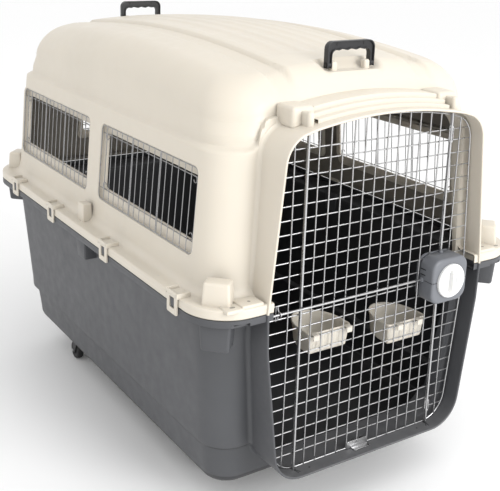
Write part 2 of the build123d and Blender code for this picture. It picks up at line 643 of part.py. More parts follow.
def make_side_bolt():
    """Level bolt across the door, with its rack above the large drive rim."""
    inner = LOCK_Z + DISC_R + RACK_GAP
    link_x = LOCK_X - DISC_R - 5.0
    with BuildPart() as bolt:
        add(rod((SIDE_TIP_X, SIDE_BOLT_Y, LOCK_Z), (link_x, SIDE_BOLT_Y, LOCK_Z), ROD_R))
        add(box((link_x - 4.0, SIDE_BOLT_Y - 2.4, LOCK_Z - ROD_R),
                (link_x + 0.4, SIDE_BOLT_Y + 2.4, inner + 4.6)))
        add(box((link_x - 4.0, SIDE_BOLT_Y - 2.4, inner), (LOCK_X + 27, SIDE_BOLT_Y + 2.4, inner + 4.6)))
    return bolt.part


def make_bolt_guides():
    """Two small guides on the grille that steady the upright bolts."""
    with BuildPart() as guides:
        for z, half in ((787.0, 17.0), (170.0, 14.0)):
            add(box((ROD_X - 6, ROD_Y - 5.5, z - half), (ROD_X + 6, GRILLE_FRONT_Y - 0.02, z + half)))
            add(rod((ROD_X, ROD_Y, z - half - 1), (ROD_X, ROD_Y, z + half + 1), SOCKET_R), mode=Mode.SUBTRACT)
    return guides.part


def make_bolt_eye():
    """Ring near the door's hinge edge that the side bolt runs through, with its foot on the grille."""
    x = -236.0
    with BuildPart() as eye:
        add(rod((x - 2, SIDE_BOLT_Y, LOCK_Z), (x + 2, SIDE_BOLT_Y, LOCK_Z), 5.2))
        add(box((x - 2, SIDE_BOLT_Y, LOCK_Z - 2.5), (x + 2, GRILLE_FRONT_Y - 0.02, LOCK_Z + 2.5)))
        add(box((x - 4, ROD_Y, LOCK_Z - 20), (x + 4, GRILLE_FRONT_Y - 0.02, LOCK_Z + 15)))
        add(rod((x - 5, SIDE_BOLT_Y, LOCK_Z), (x + 5, SIDE_BOLT_Y, LOCK_Z), SOCKET_R), mode=Mode.SUBTRACT)
    return eye.part


def make_hinge_rod():
    """Upright rod on the left of the door that turns in the sockets above and below."""
    return rod((-ROD_X, ROD_Y, BOSS_FOOT_Z + 4), (-ROD_X, ROD_Y, BOSS_TOP_Z - 10), ROD_R)


def make_pull_tab():
    """Folded metal tab on the door's bottom wire."""
    foot = PARTING_Z + DOOR["sill"]
    front = GRILLE_FRONT_Y
    with BuildPart() as tab:
        add(box((-42, front - 1.6, foot - 0.7), (12, front - 0.02, foot + 15)))
        add(box((-30, front - 14, foot - 0.7), (12, front - 0.5, foot + 0.9)))
    return tab.part


def make_bowl(middle_x, row, hook_x):
    """Half-round bowl that hangs inside the door by two hooks."""
    face_y = GRILLE_BACK_Y + 2.4
    top_z = mesh_rows()[row] + WIRE / 2 + HANG_GAP + BOWL_HOOK
    low_z = top_z - BOWL_HEIGHT

    def half_round(inset, foot):
        with BuildPart() as body:
            with BuildSketch(Plane.XY.offset(foot)):
                with BuildLine():
                    half = BOWL_HALF_X - inset
                    straight = 30.0
                    left, right = middle_x - half, middle_x + half
                    Polyline((left, face_y + straight), (left, face_y + inset), (right, face_y + inset),
                             (right, face_y + straight))
                    EllipticalCenterArc((middle_x, face_y + straight), half, BOWL_DEPTH - straight - inset,
                                        start_angle=0, arc_size=180)
                make_face()
            extrude(amount=top_z - foot)
        return body.part

    outer = half_round(0.0, low_z)
    inner = half_round(BOWL_SKIN, low_z + BOWL_SKIN)
    with BuildPart() as bowl:
        add(outer)
        add(inner, mode=Mode.SUBTRACT)
        for x in (middle_x - hook_x, middle_x + hook_x):
            add(box((x - 7, GRILLE_FRONT_Y - 3.4, top_z - BOWL_HOOK), (x + 7, face_y + 1, top_z)))
            add(box((x - 7, GRILLE_FRONT_Y - 3.4, top_z - 13), (x + 7, GRILLE_FRONT_Y - 0.6, top_z)))
    return bowl.part


def make_handle(end):
    """Folding handle: finger grip on two legs with stub pins in the lugs."""
    y = handle_y(end)
    leg_x = HANDLE_HALF_X - HANDLE_LEG / 2
    with BuildPart() as handle:
        with BuildSketch(Plane.XZ.offset(-(y + 6.5))):
            with Locations((0, (HANDLE_PIVOT_Z + HANDLE_TOP_Z) / 2 - 3)):
                Rectangle(2 * HANDLE_HALF_X, HANDLE_TOP_Z - HANDLE_PIVOT_Z + 6)
            fillet(vertices().group_by(Axis.Y)[-1], 13.0)
            with Locations((0, (HANDLE_PIVOT_Z + HANDLE_TOP_Z) / 2 - 15)):
                Rectangle(2 * (HANDLE_HALF_X - HANDLE_LEG), HANDLE_TOP_Z - HANDLE_PIVOT_Z, mode=Mode.SUBTRACT)
            with Locations(*[(x, HANDLE_TOP_Z - 14.0) for x in (-30, -10, 10, 30)]):
                Circle(4.0)
        extrude(amount=13.0)
        for side in (-1, 1):
            add(rod((side * leg_x, y, HANDLE_PIVOT_Z), (side * PIN_END_X, y, HANDLE_PIVOT_Z), 4.0))
            add(rod((side * (HANDLE_HALF_X - HANDLE_LEG), y, HANDLE_PIVOT_Z),
                    (side * HANDLE_HALF_X, y, HANDLE_PIVOT_Z), 6.5))
    return handle.part


def make_clip(frame):
    """Rim clip: a window frame that hangs from its pin and snaps over the catch."""
    with BuildPart() as clip:
        add(clip_block(frame, (-CLIP_HALF, CLIP_FOOT_Z, 0.6), (CLIP_HALF, CLIP_PIVOT_Z, 4.6)))
        window_low = (-CLIP_WINDOW_HALF, CLIP_WINDOW_Z[0], 0)
        add(clip_block(frame, window_low, (CLIP_WINDOW_HALF, CLIP_WINDOW_Z[1], 6)), mode=Mode.SUBTRACT)
        add(clip_hole(frame, CLIP_PIN_R, CLIP_LUG[1] - 1.0))
        add(clip_hole(frame, 3.6, CLIP_HALF))
    return clip.part


def caster_centre(side, end):
    """X and Y of a caster's stem."""
    x, y = CASTER_PLACES[end]
    return side * x, y


def make_fork(side, end):
    """Swivel fork of a caster with its stem."""
    x, y = caster_centre(side, end)
    half = WHEEL_WIDTH / 2 + 1.0
    axle_y = y + TRAIL
    with BuildPart() as fork:
        add(rod((x, y, WHEEL_R + 32), (x, y, BASE_BOTTOM_Z + 10), 4.92))
        add(rod((x, y, WHEEL_R + 36), (x, y, BASE_BOTTOM_Z - 4), 15.0))
        for way in (-1, 1):
            low_x, high_x = sorted((x + way * half, x + way * (half + FORK_PLATE)))
            with BuildSketch(Plane.YZ.offset(low_x)) as cheek:
                with BuildLine():
                    Polyline((axle_y + 7, WHEEL_R - 5), (y + 13, WHEEL_R + 36), (y - 13, WHEEL_R + 36),
                             (axle_y - 9, WHEEL_R - 5), (axle_y + 7, WHEEL_R - 5))
                make_face()
            extrude(amount=high_x - low_x)
        reach = half + FORK_PLATE
        add(box((x - reach, y - 13, WHEEL_R + 33), (x + reach, y + 13, WHEEL_R + 37)))
        add(rod((x - 20, axle_y, WHEEL_R), (x + 20, axle_y, WHEEL_R), 3.0), mode=Mode.SUBTRACT)
    return fork.part


def make_wheel(side, end):
    """Caster wheel with a soft rounded tread."""
    x, y = caster_centre(side, end)
    y += TRAIL
    half = WHEEL_WIDTH / 2
    with BuildPart() as wheel:
        with BuildSketch(Plane.YZ.offset(x - half)):
            with Locations((y, WHEEL_R)):
                Circle(WHEEL_R)
                Circle(3.08, mode=Mode.SUBTRACT)
        extrude(amount=WHEEL_WIDTH)
        fillet(edges().filter_by(GeomType.CIRCLE).group_by(SortBy.RADIUS)[-1], 4.0)
    return wheel.part


def make_axle(side, end):
    """Axle pin pressed into the fork."""
    x, y = caster_centre(side, end)
    y += TRAIL
    reach = WHEEL_WIDTH / 2 + 1.0 + FORK_PLATE
    with BuildPart() as axle:
        add(rod((x - reach - 1.5, y, WHEEL_R), (x + reach, y, WHEEL_R), 3.0))
        add(rod((x - reach - 1.5, y, WHEEL_R), (x - reach - 0.05, y, WHEEL_R), 4.5))
    return axle.part


save(make_top_shell(), "top_shell")
save(make_base_shell(), "base_shell")
save(make_door_grille(), "door_grille")
save(make_hinge_rod(), "hinge_rod")
save(make_lock_housing(), "lock_housing")
save(make_lock_cover(), "lock_cover")
save(make_lock_screws(), "lock_screws")
save(make_lock_knob(), "lock_knob")
save(make_lock_pinion(), "lock_pinion")
save(make_upright_bolt(1, 831.0), "upper_bolt")
save(make_upright_bolt(-1, 128.0), "lower_bolt")
save(make_side_bolt(), "side_bolt")
save(make_bolt_guides(), "bolt_guides")
save(make_bolt_eye(), "side_bolt_eye")
save(make_pull_tab(), "door_pull_tab")
for bowl_name, (bowl_x, bowl_row, bowl_hook) in BOWLS.items():
    save(make_bowl(bowl_x, bowl_row, bowl_hook), bowl_name)
save(make_handle(-1), "handle_front")
save(make_handle(1), "handle_rear")
for window_name, (window_frame, window_half) in window_frames().items():
    save(make_window_grille(window_frame, window_half), window_name)
for clip_name, clip_frame in side_clip_frames().items():
    save(make_clip(clip_frame), clip_name)
for caster_end in CASTER_PLACES:
    for caster_side, word in ((-1, "left"), (1, "right")):
        place = f"{caster_end}_{word}"
        save(make_fork(caster_side, caster_end), f"caster_fork_{place}")
        save(make_wheel(caster_side, caster_end), f"caster_wheel_{place}")
        save(make_axle(caster_side, caster_end), f"caster_axle_{place}")
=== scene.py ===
import json
import math
import bmesh
import bpy
import numpy as np
from mathutils import Matrix, Vector


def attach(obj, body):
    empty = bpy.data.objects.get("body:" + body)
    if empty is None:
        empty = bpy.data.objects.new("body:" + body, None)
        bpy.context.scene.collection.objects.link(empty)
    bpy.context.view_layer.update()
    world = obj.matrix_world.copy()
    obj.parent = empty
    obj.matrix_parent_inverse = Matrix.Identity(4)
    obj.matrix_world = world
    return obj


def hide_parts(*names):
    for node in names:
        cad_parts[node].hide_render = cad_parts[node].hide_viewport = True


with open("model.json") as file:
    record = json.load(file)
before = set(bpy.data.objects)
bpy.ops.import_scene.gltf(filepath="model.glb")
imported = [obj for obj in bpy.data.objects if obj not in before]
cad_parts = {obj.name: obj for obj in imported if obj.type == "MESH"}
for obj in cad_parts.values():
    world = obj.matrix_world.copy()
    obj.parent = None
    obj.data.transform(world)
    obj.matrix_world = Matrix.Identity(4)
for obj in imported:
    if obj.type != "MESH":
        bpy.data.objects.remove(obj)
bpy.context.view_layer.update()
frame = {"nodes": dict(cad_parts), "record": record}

# ---------------------------------------------------------------- main dimensions, millimetres
PARTING = 496.0
CROWN = 963.0
MID_Y = 20.0
FRONT_WALL, REAR_WALL, HALF_WALL = -532.0, 572.0, 363.0
RIM_FRONT, RIM_REAR, RIM_HALF = -586.0, 614.0, 405.0
DRAFT = 0.08
SHOULDER_Z, SHOULDER_IN = 788.0, 11.0
FLANGE_TOP, FLANGE_LOW = 516.0, 480.0
CLIP_TOP, CLIP_LOW, CLIP_HALF = 521.5, 479.0, 19.0
STEP_Z = 172.0
COLLAR_Y, STOP_Y = -590.0, -536.0
COLLAR = dict(mid=279.0, top=247.0, spring=328.0, crown=360.0, knee=277.0, foot=242.0, sill=-376.0)
DOOR = dict(mid=260.0, top=241.0, spring=318.0, crown=348.0, knee=258.0, foot=231.0, sill=-368.9)
STOP = dict(mid=257.0, top=238.0, spring=320.0, crown=350.0, knee=255.0, foot=228.0, sill=-371.0)
PITCH = 28.0
ROD_X, ROD_Y = 182.0, -562.52
LOCK_X, LOCK_Z = 178.0, 480.0
SIDE_ROD_Y = -568.52
PIN_Z = 925.0
TRAIL = 14
CLIPS = (-460.0, -148.0, 158.0, 409.0)
HANDLES = {"handle_front": (-1, MID_Y - 464.0), "handle_rear": (1, MID_Y + 464.0)}
SCOOP = 914.5


# ---------------------------------------------------------------- materials
def node_tree(name):
    """A new material with its node tree and shader."""
    mat = bpy.data.materials.new(name)
    mat.use_nodes = True
    tree = mat.node_tree
    shader = tree.nodes["Principled BSDF"]
    return mat, tree, shader


def noise(tree, coord, scale, detail):
    """Noise texture over the object's own coordinates."""
    texture = tree.nodes.new("ShaderNodeTexNoise")
    texture.inputs["Scale"].default_value = scale
    texture.inputs["Detail"].default_value = detail
    tree.links.new(coord.outputs["Object"], texture.inputs["Vector"])
    return texture.outputs["Fac"]


def spread(tree, value, low, high, to_low, to_high):
    """Maps the middle of a noise onto a range."""
    ramp = tree.nodes.new("ShaderNodeMapRange")
    for name, number in (("From Min", low), ("From Max", high), ("To Min", to_low), ("To Max", to_high)):
        ramp.inputs[name].default_value = number
    tree.links.new(value, ramp.inputs["Value"])
    return ramp.outputs["Result"]


def relief(tree, shader, height, strength, distance):
    """Bump from a noise."""
    bump = tree.nodes.new("ShaderNodeBump")
    bump.inputs["Strength"].default_value = strength
    bump.inputs["Distance"].default_value = distance
    tree.links.new(height, bump.inputs["Height"])
    tree.links.new(bump.outputs["Normal"], shader.inputs["Normal"])


def maths(tree, operation, *values, clamp=False):
    """One maths node; each value is a number or a node's output."""
    node = tree.nodes.new("ShaderNodeMath")
    node.operation = operation
    node.use_clamp = clamp
    for place, value in enumerate(values):
        if isinstance(value, (int, float)):
            node.inputs[place].default_value = value
        else:
            tree.links.new(value, node.inputs[place])
    return node.outputs[0]


def parted(tree, vector):
    """The three parts of a vector."""
    node = tree.nodes.new("ShaderNodeSeparateXYZ")
    tree.links.new(vector, node.inputs[0])
    return [node.outputs[axis] for axis in "XYZ"]


def scaled(tree, vector, share):
    """A vector or colour times a number."""
    node = tree.nodes.new("ShaderNodeVectorMath")
    node.operation = "SCALE"
    if isinstance(vector, tuple):
        node.inputs[0].default_value = vector
    else:
        tree.links.new(vector, node.inputs[0])
    tree.links.new(share, node.inputs["Scale"])
    return node.outputs["Vector"]


def painted_cabin_shade(tree, coord, colour, shade):
    """Painted shade for the dark cabin: scales a colour down on faces turned towards the middle of the
    cabin.
    """
    way_x, way_y, way_z = parted(tree, coord.outputs["Normal"])
    x, y, z = parted(tree, coord.outputs["Object"])
    outward = maths(tree, "ADD", maths(tree, "MULTIPLY", way_x, x),
                    maths(tree, "MULTIPLY", way_y, maths(tree, "SUBTRACT", y, MID_Y / 1000)))
    upright = maths(tree, "LESS_THAN", way_z, 0.35)
    wall_face = maths(tree, "MULTIPLY", maths(tree, "LESS_THAN", outward, -0.03), upright)
    ceiling = maths(tree, "LESS_THAN", way_z, -0.3)
    ground = maths(tree, "MULTIPLY", maths(tree, "GREATER_THAN", way_z, 0.5),
                   maths(tree, "LESS_THAN", z, 0.11))
    inside = maths(tree, "MAXIMUM", maths(tree, "MAXIMUM", wall_face, ceiling), ground)
    return scaled(tree, colour, maths(tree, "SUBTRACT", 1.0, maths(tree, "MULTIPLY", inside, 1.0 - shade)))


def plastic(name, colour, rough=0.42, grain=900.0, bump=0.08, mottle=0.05, dust=0.0, specular=0.45,
            subsurface=0.0, inner=None):
    """Moulded plastic: fine grain, slow colour drift, uneven sheen and a little settled dust.

    inner is the share of the colour left on a shell's cabin side, as painted shade there."""
    mat, tree, shader = node_tree(name)
    nodes, links = tree.nodes, tree.links
    coord = nodes.new("ShaderNodeTexCoord")
    fine, slow, wear = (noise(tree, coord, *pair) for pair in ((grain, 2.0), (5.0, 4.0), (38.0, 5.0)))
    last = scaled(tree, colour, spread(tree, slow, 0.3, 0.7, 1.0 - mottle, 1.0 + mottle))
    if dust:
        upward = parted(tree, nodes.new("ShaderNodeNewGeometry").outputs["Normal"])[2]
        amount = maths(tree, "MULTIPLY", upward, maths(tree, "MULTIPLY", wear, dust), clamp=True)
        mix = nodes.new("ShaderNodeMix")
        mix.data_type = "RGBA"
        mix.inputs[7].default_value = (0.62, 0.60, 0.56, 1)
        links.new(amount, mix.inputs[0])
        links.new(last, mix.inputs[6])
        last = mix.outputs[2]
    # Painted shade: darker colour on the faces on a shell's cabin side.
    if inner:
        last = painted_cabin_shade(tree, coord, last, inner)
    links.new(last, shader.inputs["Base Color"])
    links.new(spread(tree, wear, 0.25, 0.75, rough - 0.06, rough + 0.08), shader.inputs["Roughness"])
    shader.inputs["Specular IOR Level"].default_value = specular
    if subsurface:
        shader.inputs["Subsurface Weight"].default_value = subsurface
        shader.inputs["Subsurface Radius"].default_value = (0.012, 0.009, 0.006)
        shader.inputs["Subsurface Scale"].default_value = 1.0
    relief(tree, shader, fine, bump, 0.0006)
    return mat


def zinc(name, colour, rough=0.28):
    """Bright plated wire with streaks and dull patches."""
    mat, tree, shader = node_tree(name)
    nodes, links = tree.nodes, tree.links
    coord = nodes.new("ShaderNodeTexCoord")
    patch = noise(tree, coord, 60.0, 6.0)
    tint = nodes.new("ShaderNodeMix")
    tint.data_type = "RGBA"
    tint.inputs[6].default_value = tuple(c * 0.78 for c in colour[:3]) + (1,)
    tint.inputs[7].default_value = tuple(colour[:3]) + (1,)
    links.new(patch, tint.inputs[0])
    links.new(tint.outputs[2], shader.inputs["Base Color"])
    links.new(spread(tree, patch, 0.3, 0.7, rough - 0.08, rough + 0.14), shader.inputs["Roughness"])
    shader.inputs["Metallic"].default_value = 1.0
    relief(tree, shader, patch, 0.12, 0.0003)
    return mat


CREAM_LOOK = dict(colour=(0.66, 0.605, 0.515), rough=0.40, mottle=0.018, grain=700, bump=0.10,
                  subsurface=0.05)
GREY_LOOK = dict(colour=(0.072, 0.074, 0.080), rough=0.46, mottle=0.06, grain=650, bump=0.16, dust=0.10)
CREAM = plastic("cream_plastic", **CREAM_LOOK)
# Cream copy with painted shade on the top shell's cabin side.
SHELL_CREAM_PAINTED_SHADE = plastic("shell_plastic_painted_shade", inner=0.36, **CREAM_LOOK)
BOWL_CREAM = plastic("bowl_plastic", (0.62, 0.575, 0.50), rough=0.34, mottle=0.03, grain=500, bump=0.04,
                     subsurface=0.10)
GREY = plastic("grey_plastic", **GREY_LOOK)
# Grey copy with painted shade on the base's cabin side.
BASE_GREY_PAINTED_SHADE = plastic("base_plastic_painted_shade", inner=0.45, **GREY_LOOK)
LOCK_GREY = plastic("lock_plastic", (0.155, 0.162, 0.178), rough=0.38, mottle=0.04, grain=1200, bump=0.06)
KNOB_WHITE = plastic("knob_plastic", (0.80, 0.80, 0.785), rough=0.30, mottle=0.015, grain=400, bump=0.03,
                     subsurface=0.06)
BLACK = plastic("black_plastic_looks", (0.016, 0.016, 0.018), rough=0.36, mottle=0.10, grain=900, bump=0.10,
                dust=0.05)
RUBBER = plastic("wheel_looks", (0.014, 0.014, 0.014), rough=0.60, mottle=0.12, grain=1500, bump=0.22,
                 dust=0.12)
DARK = plastic("socket_plastic", (0.020, 0.020, 0.022), rough=0.5, mottle=0.05, grain=900, bump=0.08)
SHADE = plastic("shaded_plastic", (0.30, 0.28, 0.24), rough=0.5, mottle=0.04, grain=700, bump=0.05)
ZINC = zinc("zinc_looks", (0.54, 0.54, 0.545))
# Darker copy of the zinc for the window wires: painted shade.
WINDOW_ZINC_PAINTED_SHADE = zinc("window_zinc_painted_shade_looks", (0.40, 0.40, 0.405))
SLOT_LOOKS = {"cream_shell": CREAM, "cream_clip": CREAM, "cream_bowl": BOWL_CREAM, "grey_base": GREY,
              "lock_grey": LOCK_GREY, "knob_white": KNOB_WHITE, "black_plastic": BLACK,
              "wheel_rubber": RUBBER, "zinc_wire": ZINC}
for entry in frame["record"]["subparts"]:
    node = frame["nodes"][entry["node"]]
    node.data.materials.clear()
    node.data.materials.append(SLOT_LOOKS[entry["material_slot"]])


# ---------------------------------------------------------------- mesh helpers
def mesh_data(name, verts, faces, weld):
    """Mesh from millimetre points, its normals outwards."""
    data = bpy.data.meshes.new(name)
    data.from_pydata([tuple(c / 1000 for c in v) for v in verts], [], [tuple(f) for f in faces])
    if weld:
        data.validate()
    work = bmesh.new()
    work.from_mesh(data)
    if weld:
        bmesh.ops.remove_doubles(work, verts=work.verts, dist=1e-6)
    bmesh.ops.recalc_face_normals(work, faces=work.faces)
    work.to_mesh(data)
    work.free()
    return data


def add_object(name, data):
    """Object in the scene for a mesh, lamp or camera."""
    item = bpy.data.objects.new(name, data)
    bpy.context.scene.collection.objects.link(item)
    return item


def soften(data, angle):
    """Smooth shading with sharp edges kept."""
    data.polygons.foreach_set("use_smooth", [True] * len(data.polygons))
    data.set_sharp_from_angle(angle=math.radians(angle))


def piece(name, verts, faces, looks, body, slot, replaces=(), sharp=40):
    """Visible piece riding on a body, in place of the CAD nodes that it replaces."""
    data = mesh_data(name, verts, faces, True)
    item = add_object(name, data)
    data.materials.append(looks)
    soften(data, sharp)
    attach(item, body)
    if replaces:
        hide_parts(*replaces)
    return item


ON_TOP = (CREAM, "carrier", "cream_shell", ("top_shell",))
ON_BASE = (GREY, "carrier", "grey_base", ("base_shell",))


def join_parts(parts):
    """One vertex and face list from several."""
    verts, faces = [], []
    for points, polys in parts:
        start = len(verts)
        verts += [tuple(p) for p in points]
        faces += [tuple(i + start for i in f) for f in polys]
    return verts, faces


def loft(rings, closed=True, cap_first=False, cap_last=False):
    """Quads between rings with the same number of points."""
    count = len(rings[0])
    verts = [tuple(p) for ring in rings for p in ring]
    faces = []
    for r in range(len(rings) - 1):
        for i in range(count if closed else count - 1):
            j = (i + 1) % count
            faces.append((r * count + i, r * count + j, (r + 1) * count + j, (r + 1) * count + i))
    if cap_first:
        faces.append(tuple(range(count - 1, -1, -1)))
    if cap_last:
        faces.append(tuple((len(rings) - 1) * count + i for i in range(count)))
    return verts, faces


def tube(points, radius, sides=10, closed=False):
    """Round wire along a path, with capped ends."""
    pts = [Vector(p) for p in points]
    count = len(pts)
    rings = []
    previous = None
    for k, p in enumerate(pts):
        if closed:
            along = (pts[(k + 1) % count] - pts[k - 1]).normalized()
        else:
            along = (pts[min(k + 1, count - 1)] - pts[max(k - 1, 0)]).normalized()
        if previous is None:
            side = along.orthogonal().normalized()
        else:
            side = (previous - along * previous.dot(along)).normalized()
        previous = side
        other = along.cross(side)
        rings.append([p + radius * (math.cos(a) * side + math.sin(a) * other)
                      for a in (2 * math.pi * s / sides for s in range(sides))])
    if closed:
        verts, faces = loft(rings)
        last = (len(rings) - 1) * sides
        for s in range(sides):
            t = (s + 1) % sides
            faces.append((last + s, last + t, t, s))
        return verts, faces
    return loft(rings, cap_first=True, cap_last=True)


def quarter(steps):
    """(1 - sin, 1 - cos) in even steps over a quarter turn."""
    turns = (math.pi / 2 * k / steps for k in range(steps + 1))
    return [(1 - math.sin(a), 1 - math.cos(a)) for a in turns]


def between(first, last, share):
    """Points part of the way from one ring to another."""
    return [tuple(a + (b - a) * share for a, b in zip(p, q)) for p, q in zip(first, last)]


def arc_points(centre, radius, start, end, steps):
    """Points of an arc, angles in degrees."""
    return [(centre[0] + radius * math.cos(math.radians(start + (end - start) * k / steps)),
             centre[1] + radius * math.sin(math.radians(start + (end - start) * k / steps)))
            for k in range(steps + 1)]


def rounded(half_x, half_y, radius, steps=6, cx=0.0, cy=0.0):
    """Rounded rectangle outline, anticlockwise."""
    pts = []
    for sx, sy, a in ((1, 1, 0), (-1, 1, 90), (-1, -1, 180), (1, -1, 270)):
        pts += arc_points((cx + sx * (half_x - radius), cy + sy * (half_y - radius)), radius, a, a + 90,
                          steps)
    return pts


def block(low, high, bevel=2.0, taper=0.0, segments=3):
    """Rounded box between any two opposite corners; taper draws in the top."""
    low, high = zip(*(sorted(pair) for pair in zip(low, high)))
    work = bmesh.new()
    bmesh.ops.create_cube(work, size=1.0)
    for v in work.verts:
        shrink = taper if v.co.z > 0 else 0.0
        for axis in range(3):
            mid, half = (low[axis] + high[axis]) / 2, (high[axis] - low[axis]) / 2
            way = 1 if v.co[axis] > 0 else -1
            v.co[axis] = mid + way * (half - (shrink if axis < 2 else 0.0))
    if bevel:
        bmesh.ops.bevel(work, geom=list(work.edges), offset=bevel, segments=segments, affect="EDGES",
                        profile=0.5)
    work.verts.ensure_lookup_table()
    work.verts.index_update()
    out = [tuple(v.co) for v in work.verts], [tuple(v.index for v in f.verts) for f in work.faces]
    work.free()
    return out


def turned(parts, matrix):
    verts, faces = parts
    return [tuple(matrix @ Vector(v)) for v in verts], faces


def lathe(profile, axis_point, axis, steps=40):
    """Surface of revolution; profile is (along, radius)."""
    axis = Vector(axis).normalized()
    side = axis.orthogonal().normalized()
    other = axis.cross(side)
    origin = Vector(axis_point)
    rings = [[origin + axis * along + radius * (math.cos(2 * math.pi * s / steps) * side
              + math.sin(2 * math.pi * s / steps) * other) for s in range(steps)] for along,
              radius in profile]
    return loft(rings, cap_first=True, cap_last=True)


def extruded(outline, to_point, depth_a, depth_b, bevel=0.0, steps=3):
    """Prism from a 2D outline with softened front and back edges; to_point maps (u, v, w) to a place."""
    rings = []
    way = 1 if depth_b > depth_a else -1
    centre = Vector((sum(p[0] for p in outline) / len(outline), sum(p[1] for p in outline) / len(outline)))

    def inset(amount):
        pts = []
        n = len(outline)
        for i in range(n):
            before, here, after = (Vector(outline[i - 1]), Vector(outline[i]), Vector(outline[(i + 1) % n]))
            edge = after - before
            if edge.length < 1e-9:
                edge = here - centre
            normal = Vector((edge.y, -edge.x)).normalized()
            pts.append(here - normal * amount)
        return pts

    plan = [(inset(bevel * (1 - math.sin(a))), depth_a + way * bevel * (1 - math.cos(a)))
            for a in (math.pi / 2 * k / steps for k in range(steps + 1))] if bevel else [(outline, depth_a)]
    back = [(inset(bevel * (1 - math.cos(a))), depth_b - way * bevel * (1 - math.sin(a)))
            for a in (math.pi / 2 * k / steps for k in range(steps + 1))] if bevel else [(outline, depth_b)]
    for pts, w in plan + back:
        rings.append([to_point(p[0], p[1], w) for p in pts])
    return loft(rings, cap_first=True, cap_last=True)


# ---------------------------------------------------------------- shells as lofted plan sections
HALF_ARC, LONG_X, LONG_Y = 9, 84, 104


def section(half_x, front, rear, front_r, rear_r):
    """Plan outline in four sides that share their ends at the corners' middles."""
    corners = {"fl": (-half_x + front_r, front + front_r, front_r, 225),
               "fr": (half_x - front_r, front + front_r, front_r, 315),
               "rr": (half_x - rear_r, rear - rear_r, rear_r, 45),
               "rl": (-half_x + rear_r, rear - rear_r, rear_r, 135)}

    def run(start, end, middle):
        first = corners[start]
        last = corners[end]
        a = arc_points(first[:2], first[2], first[3], first[3] + 45, HALF_ARC)
        b = arc_points(last[:2], last[2], last[3] - 45, last[3], HALF_ARC)
        steps = [(a[-1][0] + (b[0][0] - a[-1][0]) * k / middle,
                  a[-1][1] + (b[0][1] - a[-1][1]) * k / middle)
                 for k in range(1, middle)]
        return a + steps + b

    return [run("fl", "fr", LONG_X), run("fr", "rr", LONG_Y), run("rr", "rl", LONG_X),
            run("rl", "fl", LONG_Y)]


def around(sides):
    """One closed outline from its four sides."""
    return [p for side in sides for p in side[:-1]]


def wall(inset, radius=80.0):
    """Plan of the shells' walls."""
    return section(HALF_WALL - inset, FRONT_WALL + inset, REAR_WALL - inset, radius, radius)


def rim(inset):
    """Plan of the rims at the parting line."""
    return section(RIM_HALF - inset, RIM_FRONT + inset, RIM_REAR - inset, 90 - inset, 110 - inset)


def crown(x, y):
    """Height of the domed roof."""
    across = 1500.0 - math.sqrt(max(1500.0 ** 2 - x * x, 1.0))
    radius = 3500.0 - across
    return CROWN - 3500.0 + math.sqrt(max(radius ** 2 - (y - MID_Y) ** 2, 1.0))


def smooth(a, b, x):
    """Eased step from 0 at a to 1 at b."""
    t = min(max((x - a) / (b - a), 0.0), 1.0)
    return t * t * (3 - 2 * t)


def roof_relief(x, y):
    """Grooves and ribs of the roof, in millimetres below the crown surface."""
    ax = abs(x)
    groove = smooth(152, 160, ax) * (1 - smooth(196, 204, ax))
    drop = 7.5 * groove
    ribs = 0.0
    for centre in (0.0, 44.0, 88.0):
        ribs += (1 - smooth(7, 13, abs(ax - centre))) * 2.2
    along = smooth(-370, -340, y) * (1 - smooth(380, 410, y))
    return drop + 2.2 * (1 - smooth(126, 134, ax)) * along - ribs * along * (1 - smooth(126, 134, ax))


def scooped(x, y, z):
    """Roof height with the hollow round each handle, open towards the shell's end."""
    if z <= SCOOP:
        return z
    for end, pivot in HANDLES.values():
        gap = end * (y - pivot)
        lift = max(smooth(62, 78, abs(x)), 1 - smooth(-26, -12, gap))
        if gap > -40 and lift < 1:
            return SCOOP + (z - SCOOP) * lift
    return z


def coons(sides, height):
    """Grid patch inside a plan outline."""
    front, right, rear, left = sides
    top = rear[::-1]
    west = left[::-1]
    nx, ny = len(front), len(right)
    f, t, w, e = (np.array(s) for s in (front, top, west, right))
    u = np.linspace(0, 1, nx)[:, None, None]
    v = np.linspace(0, 1, ny)[None, :, None]
    grid = ((1 - v) * f[:, None, :] + v * t[:, None, :] + (1 - u) * w[None, :, :] + u * e[None, :, :]
            - (1 - u) * (1 - v) * f[0] - u * (1 - v) * f[-1] - (1 - u) * v * t[0] - u * v * t[-1])
    verts = [(float(p[0]), float(p[1]), height(float(p[0]), float(p[1]))) for row in grid for p in row]
    faces = [(i * ny + j, (i + 1) * ny + j, (i + 1) * ny + j + 1, i * ny + j + 1)
             for i in range(nx - 1) for j in range(ny - 1)]
    return verts, faces


def wall_in(z):
    """How far the upper wall's draft draws it in at a height."""
    return DRAFT * (z - PARTING)


STEP_LINE = ((0, 866), (150, 857), (190, 853.5), (222, 850), (235, 845), (243, 838), (249, 826), (254, 812),
             (259, 801), (266, 793),
             (280, 789), (330, 788), (400, 788))


def shoulder_line(x, y):
    """Height of the shoulder step: level round the shell, rising over the door collar at the front."""
    if y > FRONT_WALL + 60:
        return SHOULDER_Z
    ax = abs(x)
    for (x0, z0), (x1, z1) in zip(STEP_LINE, STEP_LINE[1:]):
        if ax <= x1:
            return z0 + (z1 - z0) * (ax - x0) / (x1 - x0)
    return SHOULDER_Z


def set_back(x, y, z):
    """Share of the shoulder's set-back at a point on the wall, as a rounded step 12 mm high."""
    return smooth(-5.0, 7.0, z - shoulder_line(x, y))


def stepped_point(low, high, z):
    """Point of the wall between its full plan and its set-back plan."""
    share = set_back(low[0], low[1], z)
    return low[0] + (high[0] - low[0]) * share, low[1] + (high[1] - low[1]) * share, z


